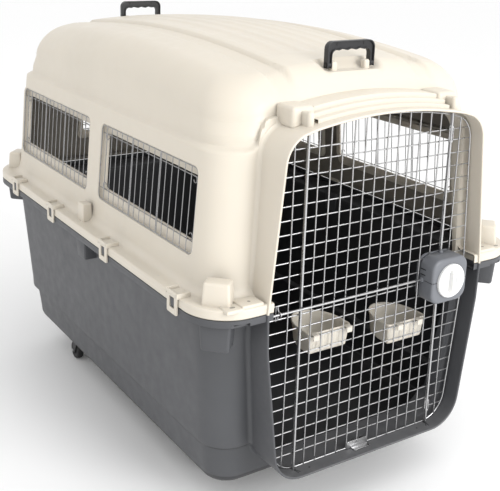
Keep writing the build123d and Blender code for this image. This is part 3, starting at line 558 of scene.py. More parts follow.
def top_shell_mesh():
    """Outer skin of the upper shell: rim, flange, drafted walls, shoulder step and roof."""
    rings = []

    def ring(outline, z):
        rings.append([(p[0], p[1], z) for p in around(outline)])

    for inset, z in ((1.2, 496.4), (0.2, 497.4), (0, 499), (0, 503), (0, 508), (0, 512), (0.6, 514.4),
                     (1.8, 515.6), (3.6, 516)):
        ring(rim(inset), z)
    edge, foot = around(rim(3.6)), around(wall(-16, 92))
    for share in (0.25, 0.5, 0.75):
        rings.append([(x, y, FLANGE_TOP) for x, y in between(edge, foot, share)])
    for k, (out, up) in enumerate(quarter(6)):
        ring(wall(-16 * out + 1.6 * k / 6, 80 + 12 * out), FLANGE_TOP + 16 * up + 2 * k / 6)
    for z in range(544, 776, 12):
        ring(wall(wall_in(z)), z)

    def stepped(z, radius):
        """Wall ring at a height, set back above the shoulder line."""
        low, high = around(wall(wall_in(z), radius)), around(wall(wall_in(z) + SHOULDER_IN, radius))
        return [stepped_point(a, b, z) for a, b in zip(low, high)]

    for k in range(12):
        rings.append(stepped(776.0 + 3.0 * k, 80 + 0.4 * k))
    low_z = 812.0
    radius = 64.0
    top_in = wall_in(880) + SHOULDER_IN
    probe = around(wall(top_in, 90))
    ends = [crown(p[0], p[1]) - radius for p in probe]
    for k in range(18):
        share = k / 18
        inset = wall_in(low_z + 60 * share)
        low = around(wall(inset, 85 + 5 * share))
        high = around(wall(inset + SHOULDER_IN + 0.4 * share, 85 + 5 * share))
        rings.append([stepped_point(a, b, low_z + (end - low_z) * share)
                      for a, b, end in zip(low, high, ends)])
    steps = 12
    for k in range(steps + 1):
        a = math.pi / 2 * k / steps
        inset = top_in + radius * (1 - math.cos(a))
        plan = around(wall(inset, max(90 - radius * (1 - math.cos(a)) * 0.55, 30)))
        here = []
        for p, start in zip(plan, ends):
            drop = roof_relief(p[0], p[1]) * smooth(0.15, 0.75, k / steps)
            z = start + (crown(p[0], p[1]) - start) * math.sin(a)
            here.append((p[0], p[1], scooped(p[0], p[1], z - drop)))
        rings.append(here)
    outside = loft(rings)
    last = wall(top_in + radius, max(90 - radius * 0.55, 30))
    roof = coons(last, lambda x, y: scooped(x, y, crown(x, y) - roof_relief(x, y)))
    return join_parts([outside, roof])


def base_shell_mesh():
    """Outer skin of the base: rim, flange, drafted walls, step and floor."""
    rings = []

    def ring(outline, z):
        rings.append([(p[0], p[1], z) for p in around(outline)])

    for inset, z in ((1.2, 495.6), (0.2, 494.8), (0, 493), (0, 488), (0, 483.5), (0.8, 481.2), (3.0, 480.2),
                     (6, 480)):
        ring(rim(inset), z)
    edge, foot = around(rim(6)), around(wall(-12, 90))
    for share in (0.33, 0.66):
        rings.append([(x, y, FLANGE_LOW) for x, y in between(edge, foot, share)])
    for k, (out, down) in enumerate(quarter(5)):
        ring(wall(-12 * out + 2.4 * k / 5, 80 + 10 * out), FLANGE_LOW - 12 * down - 2 * k / 5)
    for z in range(456, 184, -16):
        inset = (PARTING - z) * 26.0 / 324.0
        ring(wall(inset, 80 - 14 * (PARTING - z) / 324.0), z)
    base = 25.5
    for inset, z in ((0, 178), (0.8, 174.4), (3, 172.2), (6.5, 171.2), (9, 169.6), (10.4, 166),
                     (10.9, 160)):
        ring(wall(base + inset, 62), z)
    for z in (148, 136, 124, 112):
        ring(wall(36 + (172 - z) * 0.11, 60 - (172 - z) * 0.04), z)
    radius = 34.0
    foot = 36 + (172 - 106) * 0.11
    steps = 9
    for k in range(steps + 1):
        a = math.pi / 2 * k / steps
        ring(wall(foot + radius * (1 - math.cos(a)), max(56 - radius * (1 - math.cos(a)) * 0.6, 24)),
             106 - radius * math.sin(a))
    outside = loft(rings)
    floor = coons(wall(foot + radius, max(56 - radius * 0.6, 24)), lambda x, y: 72.0)
    return join_parts([outside, floor])


def doorway(shape, top_r, foot_r, inset=0.0, lower=None):
    """Outline of the doorway from the left parting point over the crown to the right one, or round below.

    Each point is (x, z), moved inwards by inset."""
    knee = -80.0

    def fillet_corner(a, b, c, r, steps):
        a, b, c = Vector(a), Vector(b), Vector(c)
        u, v = (a - b).normalized(), (c - b).normalized()
        half = math.acos(max(-1, min(1, u.dot(v)))) / 2
        back = min(r / math.tan(half), (a - b).length * 0.49 + 20, (c - b).length * 0.49 + 20)
        rr = back * math.tan(half)
        centre = b + (u + v).normalized() * (rr / math.sin(half))
        p0, p1 = b + u * back, b + v * back
        a0 = math.atan2(p0.y - centre.y, p0.x - centre.x)
        a1 = math.atan2(p1.y - centre.y, p1.x - centre.x)
        while a1 - a0 > math.pi:
            a1 -= 2 * math.pi
        while a1 - a0 < -math.pi:
            a1 += 2 * math.pi
        return [(centre.x + rr * math.cos(a0 + (a1 - a0) * k / steps),
                 centre.y + rr * math.sin(a0 + (a1 - a0) * k / steps))
                for k in range(steps + 1)]

    def line(a, b, steps):
        return [(a[0] + (b[0] - a[0]) * k / steps, a[1] + (b[1] - a[1]) * k / steps)
                for k in range(1, steps)]

    mid, top, spring, top_z = shape["mid"], shape["top"], shape["spring"], shape["crown"]
    sagitta = top_z - spring
    arc_r = (top ** 2 + sagitta ** 2) / (2 * sagitta)

    def arch(x):
        return top_z - arc_r + math.sqrt(arc_r ** 2 - x ** 2)

    slope_x = 90.0
    corner = fillet_corner((-mid, 0), (-top, spring), (-top + slope_x, arch(-top + slope_x)), top_r, 12)
    upper_half = [(-mid, 0.0)] + line((-mid, 0), corner[0], 14) + corner
    x0 = corner[-1][0]
    span = [(x0 * (1 - k / 16), arch(x0 * (1 - k / 16))) for k in range(1, 17)]
    half = upper_half + span
    if lower is None:
        pts = half + [(-p[0], p[1]) for p in half[-2::-1]]
    else:
        foot, sill, knee_x = shape["foot"], shape["sill"], shape["knee"]
        corner = fillet_corner((-knee_x, knee), (-foot, sill), (0, sill), foot_r, 12)
        half = [(-mid, 0.0)] + line((-mid, 0), (-knee_x, knee), 5) + [(-knee_x, knee)]
        half += line((-knee_x, knee), corner[0], 12) + corner
        half += [(corner[-1][0] * (1 - k / 12), sill) for k in range(1, 13)]
        pts = half + [(-p[0], p[1]) for p in half[-2::-1]]
    out = []
    n = len(pts)
    for i, p in enumerate(pts):
        a, b = pts[max(i - 1, 0)], pts[min(i + 1, n - 1)]
        if i in (0, n - 1):
            normal = Vector((1 if p[0] < 0 else -1, 0))
        else:
            edge = Vector(b) - Vector(a)
            normal = Vector((edge.y, -edge.x)).normalized()
            if lower is not None:
                normal = -normal
        out.append((p[0] + normal.x * inset, PARTING + p[1] + normal.y * inset))
    return out


def wall_y(x, z):
    """Front wall's plane at a point of the collar."""
    if z <= STEP_Z:
        return FRONT_WALL + 36 + (STEP_Z - z) * 0.11
    if z < PARTING:
        return FRONT_WALL + (PARTING - z) * 26.0 / 324.0
    return FRONT_WALL + wall_in(z) + SHOULDER_IN * set_back(x, FRONT_WALL, z)


def collar_mesh(lower):
    """Half of the door collar: outer skin, rounded lip, inner skin, stop and jamb."""
    def at(shape, inset, top_r, foot_r, y):
        pts = doorway(shape, top_r, foot_r, inset, lower)
        return [(x, y(x, z) if callable(y) else y, z) for x, z in pts]

    rings = [at(COLLAR, -8, 70, 80, lambda x, z: wall_y(x, z) + 2.5),
             at(COLLAR, -8, 70, 80, lambda x, z: wall_y(x, z) - 0.2)]
    for k, (out, forward) in enumerate(quarter(5)[1:], start=1):
        open_up = 8 * (1 - k / 5)
        rings.append(at(COLLAR, -8 * out, 62 + open_up, 72 + open_up,
                        lambda x, z, step=8 * forward: wall_y(x, z) - 0.2 - step))
    for y in (-560, -575, -586):
        rings.append(at(COLLAR, 0, 62, 72, y))
    for k in range(1, 9):
        a = math.pi * k / 8
        rings.append(at(COLLAR, 2.5 * (1 - math.cos(a)), 62, 72, COLLAR_Y + 2.5 - 2.5 * math.sin(a)))
    for y in (-575, -560, -545, -539.5):
        rings.append(at(COLLAR, 5, 62, 72, y))
    outer = rings[-1]
    inner = at(STOP, 0, 56, 62, STOP_Y)
    for share, y in ((0.12, STOP_Y - 1.0), (0.3, STOP_Y), (0.9, STOP_Y)):
        rings.append([(x, y, z) for x, _, z in between(outer, inner, share)])
    rings.append(at(STOP, 0, 56, 62, STOP_Y + 1.2))
    rings.append(at(STOP, 0, 56, 62, lambda x, z: wall_y(x, z) + 5))
    rings.append(at(STOP, -4, 56, 62, lambda x, z: wall_y(x, z) + 5.5))
    rings.append(at(STOP, -14, 56, 62, lambda x, z: wall_y(x, z) + 4.2))
    return loft(rings, closed=False)


def window_places():
    """Name, middle, way along, way out and half length of each window."""
    mid_z = 662.5
    places = []
    for place, (a, b) in (("front", (-440.0, -5.0)), ("rear", (58.0, 493.0))):
        for side, word in ((-1, "left"), (1, "right")):
            x = side * (HALF_WALL - wall_in(mid_z))
            places.append((f"window_grille_{word}_{place}", Vector((x, (a + b) / 2, mid_z)),
                           Vector((0, side, 0)), Vector((side, 0, DRAFT)).normalized(), (b - a) / 2))
    places.append(("window_grille_back", Vector((0, REAR_WALL - wall_in(mid_z), mid_z)), Vector((-1, 0, 0)),
                   Vector((0, 1, DRAFT)).normalized(), 170.0))
    return places


def in_wall(origin, along, out):
    """Maps (along, up, out) in a wall to a place."""
    up = out.cross(along).normalized()
    return lambda u, v, w: tuple(origin + along * u + up * v + out * w)


def cutter(name, verts, faces):
    """Closed shape to be cut out of a shell."""
    return add_object(name, mesh_data(name, verts, faces, False))


def cut_shell(item, tools, thickness=0.004):
    """Gives a shell its wall thickness and cuts the tools' shapes out of it, as real geometry."""
    solid = item.modifiers.new("wall", "SOLIDIFY")
    solid.thickness = thickness
    solid.offset = -1.0
    group = bpy.data.collections.new(item.name + "_tools")
    bpy.context.scene.collection.children.link(group)
    for tool in tools:
        group.objects.link(tool)
        bpy.context.scene.collection.objects.unlink(tool)
    cut = item.modifiers.new("cut", "BOOLEAN")
    cut.operation = "DIFFERENCE"
    cut.operand_type = "COLLECTION"
    cut.collection = group
    cut.solver = "EXACT"
    depsgraph = bpy.context.evaluated_depsgraph_get()
    result = bpy.data.meshes.new_from_object(item.evaluated_get(depsgraph))
    item.modifiers.clear()
    old = item.data
    item.data = result
    bpy.data.meshes.remove(old)
    for tool in tools:
        data = tool.data
        bpy.data.objects.remove(tool)
        bpy.data.meshes.remove(data)
    bpy.data.collections.remove(group)
    soften(result, 38)


def shell_piece(name, mesh, looks, slot, node, tools):
    """A shell with its thickness and openings."""
    cut_shell(piece(name, *mesh, looks, "carrier", slot, (node,)), tools)


window_tools = []
for label, origin, along, out, half in window_places():
    spot = in_wall(origin, along, out)
    outline = rounded(half + 1.0, 88.5, 17.0, 6)
    window_tools.append(cutter("cut_" + label, *extruded(outline, spot, 20, -30)))
whole_door = doorway(STOP, 56, 62, -6) + doorway(STOP, 56, 62, -6, True)[::-1][1:-1]


def door_cut(name):
    """Doorway through a shell's front wall."""
    rings = [[(x, y, z) for x, z in whole_door] for y in (-640, -470)]
    return cutter(name, *loft(rings, cap_first=True, cap_last=True))


low_tools = [door_cut("cut_door_low")]
for side in (-1, 1):
    notch = block((side * 314, RIM_FRONT - 6, 470), (side * 351, RIM_FRONT + 9, 488), 0.4, 0, 1)
    low_tools.append(cutter(f"cut_notch_{side}", *notch))
# The shells take the material copies with painted shade on their cabin side.
shell_piece("top_shell_looks", top_shell_mesh(), SHELL_CREAM_PAINTED_SHADE, "cream_shell", "top_shell",
            window_tools + [door_cut("cut_door_top")])
shell_piece("base_shell_looks", base_shell_mesh(), BASE_GREY_PAINTED_SHADE, "grey_base", "base_shell", low_tools)
piece("collar_top", *collar_mesh(None), *ON_TOP, sharp=50)
piece("collar_low", *collar_mesh(True), *ON_BASE, sharp=50)

# ---------------------------------------------------------------- windows
def hook(spot, u, v, way_u, way_v, w):
    """Curled wire end at a window's corner."""
    pts = [(u - way_u * 20, v, w)]
    for k in range(11):
        a = math.radians(90 - 250 * k / 10)
        pts.append((u - way_u * 6 + way_u * 7 * math.cos(a), v - way_v * 7 + way_v * 7 * math.sin(a),
                    w - 1.5 * k / 10))
    return tube([spot(*p) for p in pts], 1.1, 8)


for label, origin, along, out, half in window_places():
    spot = in_wall(origin, along, out)
    half_v = 87.5
    ledge_u, ledge_v0, ledge_v1 = half - 16.0, -half_v + 27.0, half_v - 20.0
    mid_v, half_l = (ledge_v0 + ledge_v1) / 2, (ledge_v1 - ledge_v0) / 2
    rings = []
    for grow, w in ((4.2, -1.6), (4.0, -0.2), (3.2, 0.35), (1.6, 0.45), (0.6, 0.1), (-0.2, -0.9),
                    (-0.5, -2.4), (-1.2, -9.0), (-1.8, -10.6), (-3.2, -11.4)):
        rings.append([spot(u, v, w) for u, v in rounded(half + grow, half_v + grow, 16 + grow, 6)])
    for grow, w in ((2.5, -11.5), (0.8, -11.8), (0.0, -12.8), (0.0, -15.6), (3.0, -16.0), (14.0, -16.0)):
        ledge = rounded(ledge_u + grow, half_l + grow, 8 + max(grow, 0), 6)
        rings.append([spot(u, v + mid_v, w) for u, v in ledge])
    piece("liner_" + label, *loft(rings), *ON_TOP, sharp=55)
    wires = []
    reach_u, reach_v = half - 2.6, half_v - 2.6
    wires.append(tube([spot(u, v, -2.2) for u, v in rounded(reach_u, reach_v, 13, 6)], 1.2, 8, closed=True))
    count = 17 if half > 200 else 13
    for k in range(1, count):
        u = -reach_u + 2 * reach_u * k / count
        wires.append(tube([spot(u, v, -2.5) for v in (-reach_v, 0, reach_v)], 0.95, 8))
    for share in (-1 / 3, 1 / 3):
        u = round((share * reach_u + reach_u) / (2 * reach_u / count)) * 2 * reach_u / count - reach_u + 4.2
        wires.append(tube([spot(u, v, -2.5) for v in (-reach_v, 0, reach_v)], 0.95, 8))
    for v in (reach_v - 18.0, -reach_v + 25.0):
        wires.append(tube([spot(u, v, -4.7) for u in (-reach_u + 3, 0, reach_u - 3)], 1.1, 8))
    for way_u in (-1, 1):
        wires.append(hook(spot, way_u * (reach_u - 12), reach_v - 18.0, way_u, 1, -6.6))
        wires.append(hook(spot, way_u * (reach_u - 12), -reach_v + 25.0, way_u, -1, -6.6))
    # The window wires take the darker zinc copy: painted shade.
    piece(label + "_wires", *join_parts(wires), WINDOW_ZINC_PAINTED_SHADE, "carrier", "zinc_wire", (label,))


# ---------------------------------------------------------------- posts, pads and bosses of the shells
def disc(place, radius, top, height, steps):
    """Flat round mark that narrows towards its top."""
    return lathe([(0, 0.1), (0, radius), (height, top), (height, 0.1)], place, (0, 0, 1), steps)


def diagonal_post(side, end, parts):
    """Places blocks given as (across, outward, up) ranges at a shell corner."""
    cx = side * (RIM_HALF - (90 if end < 0 else 110))
    cy = (RIM_FRONT + 90) if end < 0 else (RIM_REAR - 110)
    turn = math.atan2(end, side) - math.pi / 2
    matrix = Matrix.Translation((cx, cy, 0)) @ Matrix.Rotation(turn, 4, "Z")
    return [turned(p, matrix) for p in parts]


top_posts, low_posts = [], []
for side in (-1, 1):
    for end in (-1, 1):
        reach = 82.0 if end < 0 else 100.0
        top_posts += diagonal_post(side, end, [
            block((-28, reach - 48, 512), (28, reach - 8, 560), 5.0, 3.0, 4)])
        low_posts += diagonal_post(side, end, [
            block((-27, reach - 52, 424), (27, reach - 9, 484), 6.0, -4.0, 4)])
    top_posts.append(block((side * 374 - 12.5, 10, 512), (side * 374 + 12.5, 43, 558), 3.0, 1.6, 4))
    low_posts.append(block((side * 370 - 16, 4, 424), (side * 370 + 16, 48, 484), 4.0, -3.0, 4))
    top_posts.append(block((side * 306 - 24, -583, 512), (side * 306 + 24, -545, 521.5), 2.6, 0.8))
    top_posts.append(block((side * 344 - 20, -584.5, 511), (side * 344 + 20, -552, 518.6), 2.4, 1.2))
    verts, faces = block((side * ROD_X - 27, -546.0, 834), (side * ROD_X + 27, -486, 871), 8.0, 1.5, 6)
    top_posts.append(([(x, y, z - (0.188 * (abs(x) - ROD_X) if z < 853 else 0)) for x, y, z in verts],
                      faces))
    top_posts.append(lathe([(0, 7.6), (24, 7.4), (27.5, 6.4), (29.4, 4.0), (30, 0.5)],
                           (side * ROD_X, -562.5, 835), (0, 0, 1), 28))
    top_posts.append(block((side * ROD_X - 7.4, -563, 836), (side * ROD_X + 7.4, -540, 863), 2.5, 0.4, 4))
piece("top_posts", *join_parts(top_posts), *ON_TOP, sharp=60)
piece("low_posts", *join_parts(low_posts), *ON_BASE, sharp=60)

# Bolt holes of the front pads drawn as flat dark discs: painted shade in place of the holes' hollows.
hole_shade_discs = []
for side in (-1, 1):
    hole_shade_discs.append(disc((side * 306, -566, 521.4), 3.2, 3.0, 0.5, 20))
    hole_shade_discs.append(turned(disc((0, 0, 0), 3.5, 3.4, 0.3, 24),
                        Matrix.Translation((side * 344, -570, 518.5)) @ Matrix.Diagonal((1.7, 1, 1, 1))))
piece("pad_hole_shade_discs", *join_parts(hole_shade_discs), SHADE, "carrier", "grey_base", ("top_shell",))
# Flange dimples drawn as flat discs in the darker bowl cream: painted shade in place of their hollows.
dimple_shade_discs = []
for side in (-1, 1):
    for y in (-362, -191, -30, 100, 270, 350, 470):
        dimple_shade_discs.append(disc((side * 386, y, 515.95), 2.4, 2.0, 0.25, 16))
piece("flange_dimples", *join_parts(dimple_shade_discs), BOWL_CREAM, "carrier", "cream_shell", ("top_shell",))

# Stepped ledge over the door, between the two rod sockets
beads = []
for grow, y in ((7, -566), (15, -551), (24, -538)):
    arch = [(x, z) for x, z in doorway(COLLAR, 62, 72, -grow) if abs(x) < 168]
    rings = []
    for lift, depth in ((-14, y), (-2.0, y), (-0.6, y + 0.6), (0, y + 2.0), (0, -488)):
        rings.append([(x, depth, z + lift) for x, z in arch])
    beads.append(loft(rings, closed=False))
piece("front_beads", *join_parts(beads), *ON_TOP, sharp=60)

# Rod sockets in the sill: boss below, and above it near-black ribs and discs that are painted shade of the
# socket's hollows
bosses, guides = [], []
for side in (-1, 1):
    bosses.append(lathe([(0, 5.5), (1.2, 7.2), (9, 7.5), (14, 7.6)],
                        (side * ROD_X, -562.5, 110), (0, 0, 1), 24))
    for turn in (-35, -12, 12, 35):
        leaf = block((-1.2, -16, 124.3), (1.2, 0, 125.25), 0.3, 0.0, 2)
        guides.append(turned(leaf, Matrix.Translation((side * ROD_X, -562.5, 0))
                             @ Matrix.Rotation(math.radians(turn), 4, "Z")))
    guides.append(disc((side * ROD_X, -562.5, 124.5), 6.0, 5.2, 0.8, 24))
    guides.append(disc((side * (ROD_X - 34), -572, 124.9), 2.2, 2.0, 0.4, 16))
piece("socket_bosses", *join_parts(bosses), *ON_BASE)
# Painted shade: the sockets' hollows as near-black discs and ribs on the sill.
piece("socket_guides", *join_parts(guides), DARK, "carrier", "grey_base", ("base_shell",))

# ---------------------------------------------------------------- handle lugs and handles
for label, (end, pivot) in HANDLES.items():
    parts = []
    for side in (-1, 1):
        parts.append(block((side * 34.0, pivot - 8, 904), (side * 49.2, pivot + 8, 932.5), 4.5, 0.6, 5))
    piece("lugs_" + label, *join_parts(parts), *ON_TOP, sharp=50)

    def outline(offset, waves):
        """Handle side view: outer edge, or inner edge with finger waves."""
        half, top = 60.0 - offset, 972.0 - offset - (6.0 if waves else 0.0)
        pts = [(-half, 919.0)] + [(-half + (15 - offset * 0.4) * (1 - math.cos(math.radians(t))),
                                   top - (15 - offset * 0.4) * (1 - math.sin(math.radians(t))))
                                   for t in range(0, 91, 10)]
        if waves:
            lo, hi = -half + 15, half - 15
            for k in range(1, 40):
                x = lo + (hi - lo) * k / 40
                wave = 0.5 - 0.5 * math.cos(2 * math.pi * (x - lo) / (hi - lo) * 3)
                pts.append((x, top + 2.6 * wave - 1.2))
        right_side = [(-x, z) for x, z in reversed(pts[:11])]
        return pts + right_side

    def band(outer, inner, half_w, bevel):
        """Bar of the handle between two edges, with softened sides."""
        rings = [(bevel * out, -half_w + bevel * along) for out, along in quarter(3)]
        rings += [(share, -depth) for share, depth in reversed(rings)]
        loops = []
        for first, last, way in ((outer, inner, rings), (inner, outer, rings[::-1])):
            for share, depth in way:
                loops.append([(u, pivot + depth, v) for u, v in between(first, last, min(share / 6, 0.4))])
        loops.append(loops[0])
        verts, faces = loft(loops, closed=False)
        count = len(outer)
        for start in (0, count - 1):
            faces.append(tuple(r * count + start for r in range(len(loops) - 1)))
        return verts, faces

    def resample(pts, n):
        """Evenly spaced points along a line."""
        lengths = [0.0]
        for a, b in zip(pts, pts[1:]):
            lengths.append(lengths[-1] + math.dist(a, b))
        out = []
        for k in range(n):
            want = lengths[-1] * k / (n - 1)
            i = max(next((j for j, reached in enumerate(lengths) if reached >= want), len(lengths) - 1), 1)
            t = (want - lengths[i - 1]) / max(lengths[i] - lengths[i - 1], 1e-9)
            out.append(tuple(a + (b - a) * t for a, b in zip(pts[i - 1], pts[i])))
        return out

    n = 120
    outer = resample(outline(0.0, False), n)
    outer_in = resample(outline(2.6, False), n)
    inner_out = resample(outline(9.4, True), n)
    inner = resample(outline(11.4, True), n)
    mid_in = resample(outline(10.4, True), n)
    parts = [band(outer, outer_in, 6.5, 0.8), band(inner_out, inner, 6.5, 0.7),
             band(outer_in, mid_in, 3.4, 0.4)]
    for x in (-34, 34):
        parts.append(lathe([(0, 3.6), (0.8, 3.2), (0.8, 0.1)], (x, pivot - 3.4, 966), (0, -1, 0), 16))
    for side in (-1, 1):
        parts.append(lathe([(0, 3.9), (21, 3.9)], (side * 39.5, pivot, PIN_Z), (side, 0, 0), 20))
        parts.append(lathe([(0, 5.5), (0.8, 6.5), (9.2, 6.5), (10, 5.5)], (side * 50, pivot, PIN_Z),
                           (side, 0, 0), 28))
    piece(label + "_looks", *join_parts(parts), BLACK, label, "black_plastic", (label,), sharp=45)

# ---------------------------------------------------------------- door mesh
loop = doorway(DOOR, 56, 62) + doorway(DOOR, 56, 62, 0, True)[::-1][1:-1]


def crossings(axis, value):
    """Where a straight wire meets the door's outer wire."""
    found = []
    for a, b in zip(loop, loop[1:] + loop[:1]):
        if (a[axis] - value) * (b[axis] - value) < 0:
            t = (value - a[axis]) / (b[axis] - a[axis])
            found.append(a[1 - axis] + (b[1 - axis] - a[1 - axis]) * t)
    return min(found), max(found)


wires = [tube([(x, -557.3, z) for x, z in loop], 1.6, 8, closed=True)]
for i in range(16):
    x = (i - 7.5) * PITCH
    low, high = crossings(0, x + 0.01)
    wires.append(tube([(x, -558.6, z) for z in (low - 0.5, (low + high) / 2, high + 0.5)], 1.4, 8))
rows = [161.0] + [184.0 + PITCH * k for k in range(22)] + [795.3]
for z in rows:
    low, high = crossings(1, z + 0.01)
    wires.append(tube([(x, -556.1, z) for x in (low - 2.0, 0, high + 2.0)], 1.4, 8))
piece("door_wires", *join_parts(wires), ZINC, "door", "zinc_wire", ("door_grille",))
hinge_rod = tube([(-ROD_X, ROD_Y, z) for z in (114, 500, 862)], 2.5, 12)
piece("hinge_rod_looks", *hinge_rod, ZINC, "door", "zinc_wire", ("hinge_rod",))
guides = []
for z, half in ((787.0, 15.0), (170.0, 12.0)):
    for way in (-1, 1):
        guides.append(lathe([(-2.2, 2.9), (-2.2, 4.6), (2.2, 4.6), (2.2, 2.9)],
                            (ROD_X, ROD_Y, z + way * half), (0, 0, 1), 20))
    guides.append(block((ROD_X + 2.9, -565, z - half), (ROD_X + 4.6, -560.4, z + half), 0.6))
    guides.append(block((ROD_X - 5, -561.6, z - half - 3), (ROD_X + 5, -560.1, z + half + 3), 0.5))
piece("bolt_guides_looks", *join_parts(guides), ZINC, "door", "zinc_wire", ("bolt_guides",))
eye = [tube([(-236, SIDE_ROD_Y + 4.3 * math.cos(a), 480 + 4.3 * math.sin(a)) for a in
             (2 * math.pi * k / 24 for k in range(24))], 1.5, 8, closed=True),
       tube([(-236, -561.5, 466), (-236, -562, 472), (-236, -564.6, 476)], 1.5, 8),
       tube([(-236, -561.5, 494), (-236, -562, 488), (-236, -564.6, 484)], 1.5, 8),
       tube([(-240, -560.9, 464), (-240, -560.9, 480), (-240, -560.9, 494)], 1.0, 8)]
piece("side_bolt_eye_looks", *join_parts(eye), ZINC, "door", "zinc_wire", ("side_bolt_eye",))
tab = [block((-42, -561.4, 126.2), (12, -560.1, 141), 0.5),
       block((-30, -573.5, 125.9), (12, -560.4, 127.2), 0.5),
       block((-42, -561.4, 139), (12, -555.5, 141.6), 0.6)]
piece("door_pull_tab_looks", *join_parts(tab), ZINC, "door", "zinc_wire", ("door_pull_tab",))

# ---------------------------------------------------------------- lock
def facing(u, v, w):
    """Lock coordinates: u right, v up, w towards the viewer from the grille."""
    return (LOCK_X + u, -560.05 - w, LOCK_Z + v)


outline_box = rounded(50, 50, 24, 10)
rings = []
for inset, w in ((1.0, 0.0), (0.0, 1.0), (0.0, 18.0), (0.2, 34.0), (0.9, 36.8), (2.6, 38.9), (5.5, 39.9),
                 (9.0, 39.95)):
    rings.append([facing(u * (50 - inset) / 50, v * (50 - inset) / 50, w) for u, v in outline_box])
piece("lock_housing_looks", *loft(rings, cap_first=True, cap_last=True), LOCK_GREY, "door", "lock_grey",
      ("lock_housing",), sharp=50)
trims = []
for side in (-1, 1):
    for x, half, front, back, bevel in ((LOCK_X + side * 50.05, 0.25, -599.0, -576, 0.2),
                                        (LOCK_X + side * 43, 6.5, -600.2, -599.8, 0.15)):
        trims.append(block((x - half, front, LOCK_Z - 0.7), (x + half, back, LOCK_Z + 0.7), bevel, 0, 1))
for z in (LOCK_Z + 12, LOCK_Z + 24):
    trims.append(block((LOCK_X - 50.4, -578, z - 1.3), (LOCK_X - 49.7, -563, z + 1.3), 0.25, 0, 1))
piece("lock_lines", *join_parts(trims), DARK, "door", "lock_grey", ("lock_housing",))
upright_exit = [(-1, 5.2), (2.4, 5.0), (3.2, 4.2), (3.2, 2.7)]
collars = [lathe(upright_exit, (ROD_X, -562.9, LOCK_Z + 50), (0, 0, 1), 24),
           lathe(upright_exit, (ROD_X, -562.9, LOCK_Z - 50), (0, 0, -1), 24),
           lathe([(-1, 5.6), (3.0, 5.4), (4.0, 4.4), (4.0, 2.7)], (LOCK_X - 50, -568.5, LOCK_Z), (-1, 0, 0),
                 24)]
piece("lock_collars", *join_parts(collars), LOCK_GREY, "door", "lock_grey", ("lock_housing",))
rings = []
for inset, y in ((1.2, -550.2), (0, -551.2), (0, -555.0), (0.6, -555.9)):
    rings.append([(LOCK_X + u * (50 - inset) / 50, y, LOCK_Z + v * (50 - inset) / 50)
                  for u, v in outline_box])
piece("lock_cover_looks", *loft(rings, cap_first=True, cap_last=True), LOCK_GREY, "door", "lock_grey",
      ("lock_cover",), sharp=50)

# Knob: dished disc with a raised lens-shaped grip
grid_n, around_n = 34, 96
verts, faces = [], []
for r in range(grid_n + 1):
    radius = 37.0 * r / grid_n
    for s in range(around_n):
        a = 2 * math.pi * s / around_n
        u, v = radius * math.cos(a), radius * math.sin(a)
        rim_fall = 3.2 * max(0.0, (radius - 33.5) / 3.5) ** 2
        lens = 1 - smooth(0.78, 1.0, math.hypot(u / 15.5, v / 27.5))
        grip = (1 - smooth(3.6, 6.2, abs(u))) * (1 - smooth(24.0, 28.5, abs(v)))
        w = 7.2 - rim_fall - 5.2 * lens + (11.2 * grip if lens > 0 else 6.0 * grip)
        w = min(w, 13.3 - 1.2 * smooth(18, 27, abs(v)))
        verts.append((LOCK_X + u, -600.4 - w, LOCK_Z + v))
for r in range(grid_n):
    for s in range(around_n):
        t = (s + 1) % around_n
        faces.append((r * around_n + s, r * around_n + t, (r + 1) * around_n + t, (r + 1) * around_n + s))
skirt = lathe([(0.4, 36.2), (0.4, 37.0), (4.0, 37.05)], (LOCK_X, -600, LOCK_Z), (0, -1, 0), around_n)
piece("lock_knob_looks", *join_parts([(verts, faces), skirt]), KNOB_WHITE, "knob", "knob_white",
      ("lock_knob",),
      sharp=60)
mark = block((LOCK_X - 1.6, -607.1, LOCK_Z - 33.2), (LOCK_X + 1.6, -606.3, LOCK_Z - 31.0), 0.3, 0, 1)
piece("knob_mark", *mark, DARK, "knob", "knob_white", ("lock_knob",))
spindle = lathe([(0, 5.9), (38, 5.9)], (LOCK_X, -601, LOCK_Z), (0, 1, 0), 24)
piece("spindle", *spindle, KNOB_WHITE, "knob", "knob_white", ("lock_knob",))

# Bolts as round rods with their bent links
piece("upper_bolt_looks", *join_parts([
    tube([(ROD_X, ROD_Y, z) for z in (493, 660, 828, 831)], 2.5, 12),
    block((179.6, -564.9, 493.1), (191.7, -560.2, 498.9), 0.5),
    block((187.3, -564.9, 466.1), (191.7, -560.2, 498.9), 0.5)]),
    ZINC, "upper_bolt", "zinc_wire", ("upper_bolt",))
piece("lower_bolt_looks", *join_parts([
    tube([(ROD_X, ROD_Y, z) for z in (467, 300, 128)], 2.5, 12),
    block((164.3, -564.9, 461.1), (184.4, -560.2, 466.9), 0.5),
    block((164.3, -564.9, 461.1), (168.7, -560.2, 493.9), 0.5)]),
    ZINC, "lower_bolt", "zinc_wire", ("lower_bolt",))
piece("side_bolt_looks", *join_parts([
    tube([(x, SIDE_ROD_Y, LOCK_Z) for x in (-258.4, -100, 158)], 2.45, 12),
    block((156.4, -570.9, 477.6), (160.6, -566.2, 497.5), 0.5),
    block((156.4, -570.9, 493.1), (204.9, -566.2, 497.5), 0.5)]),
    ZINC, "side_bolt", "zinc_wire", ("side_bolt",))

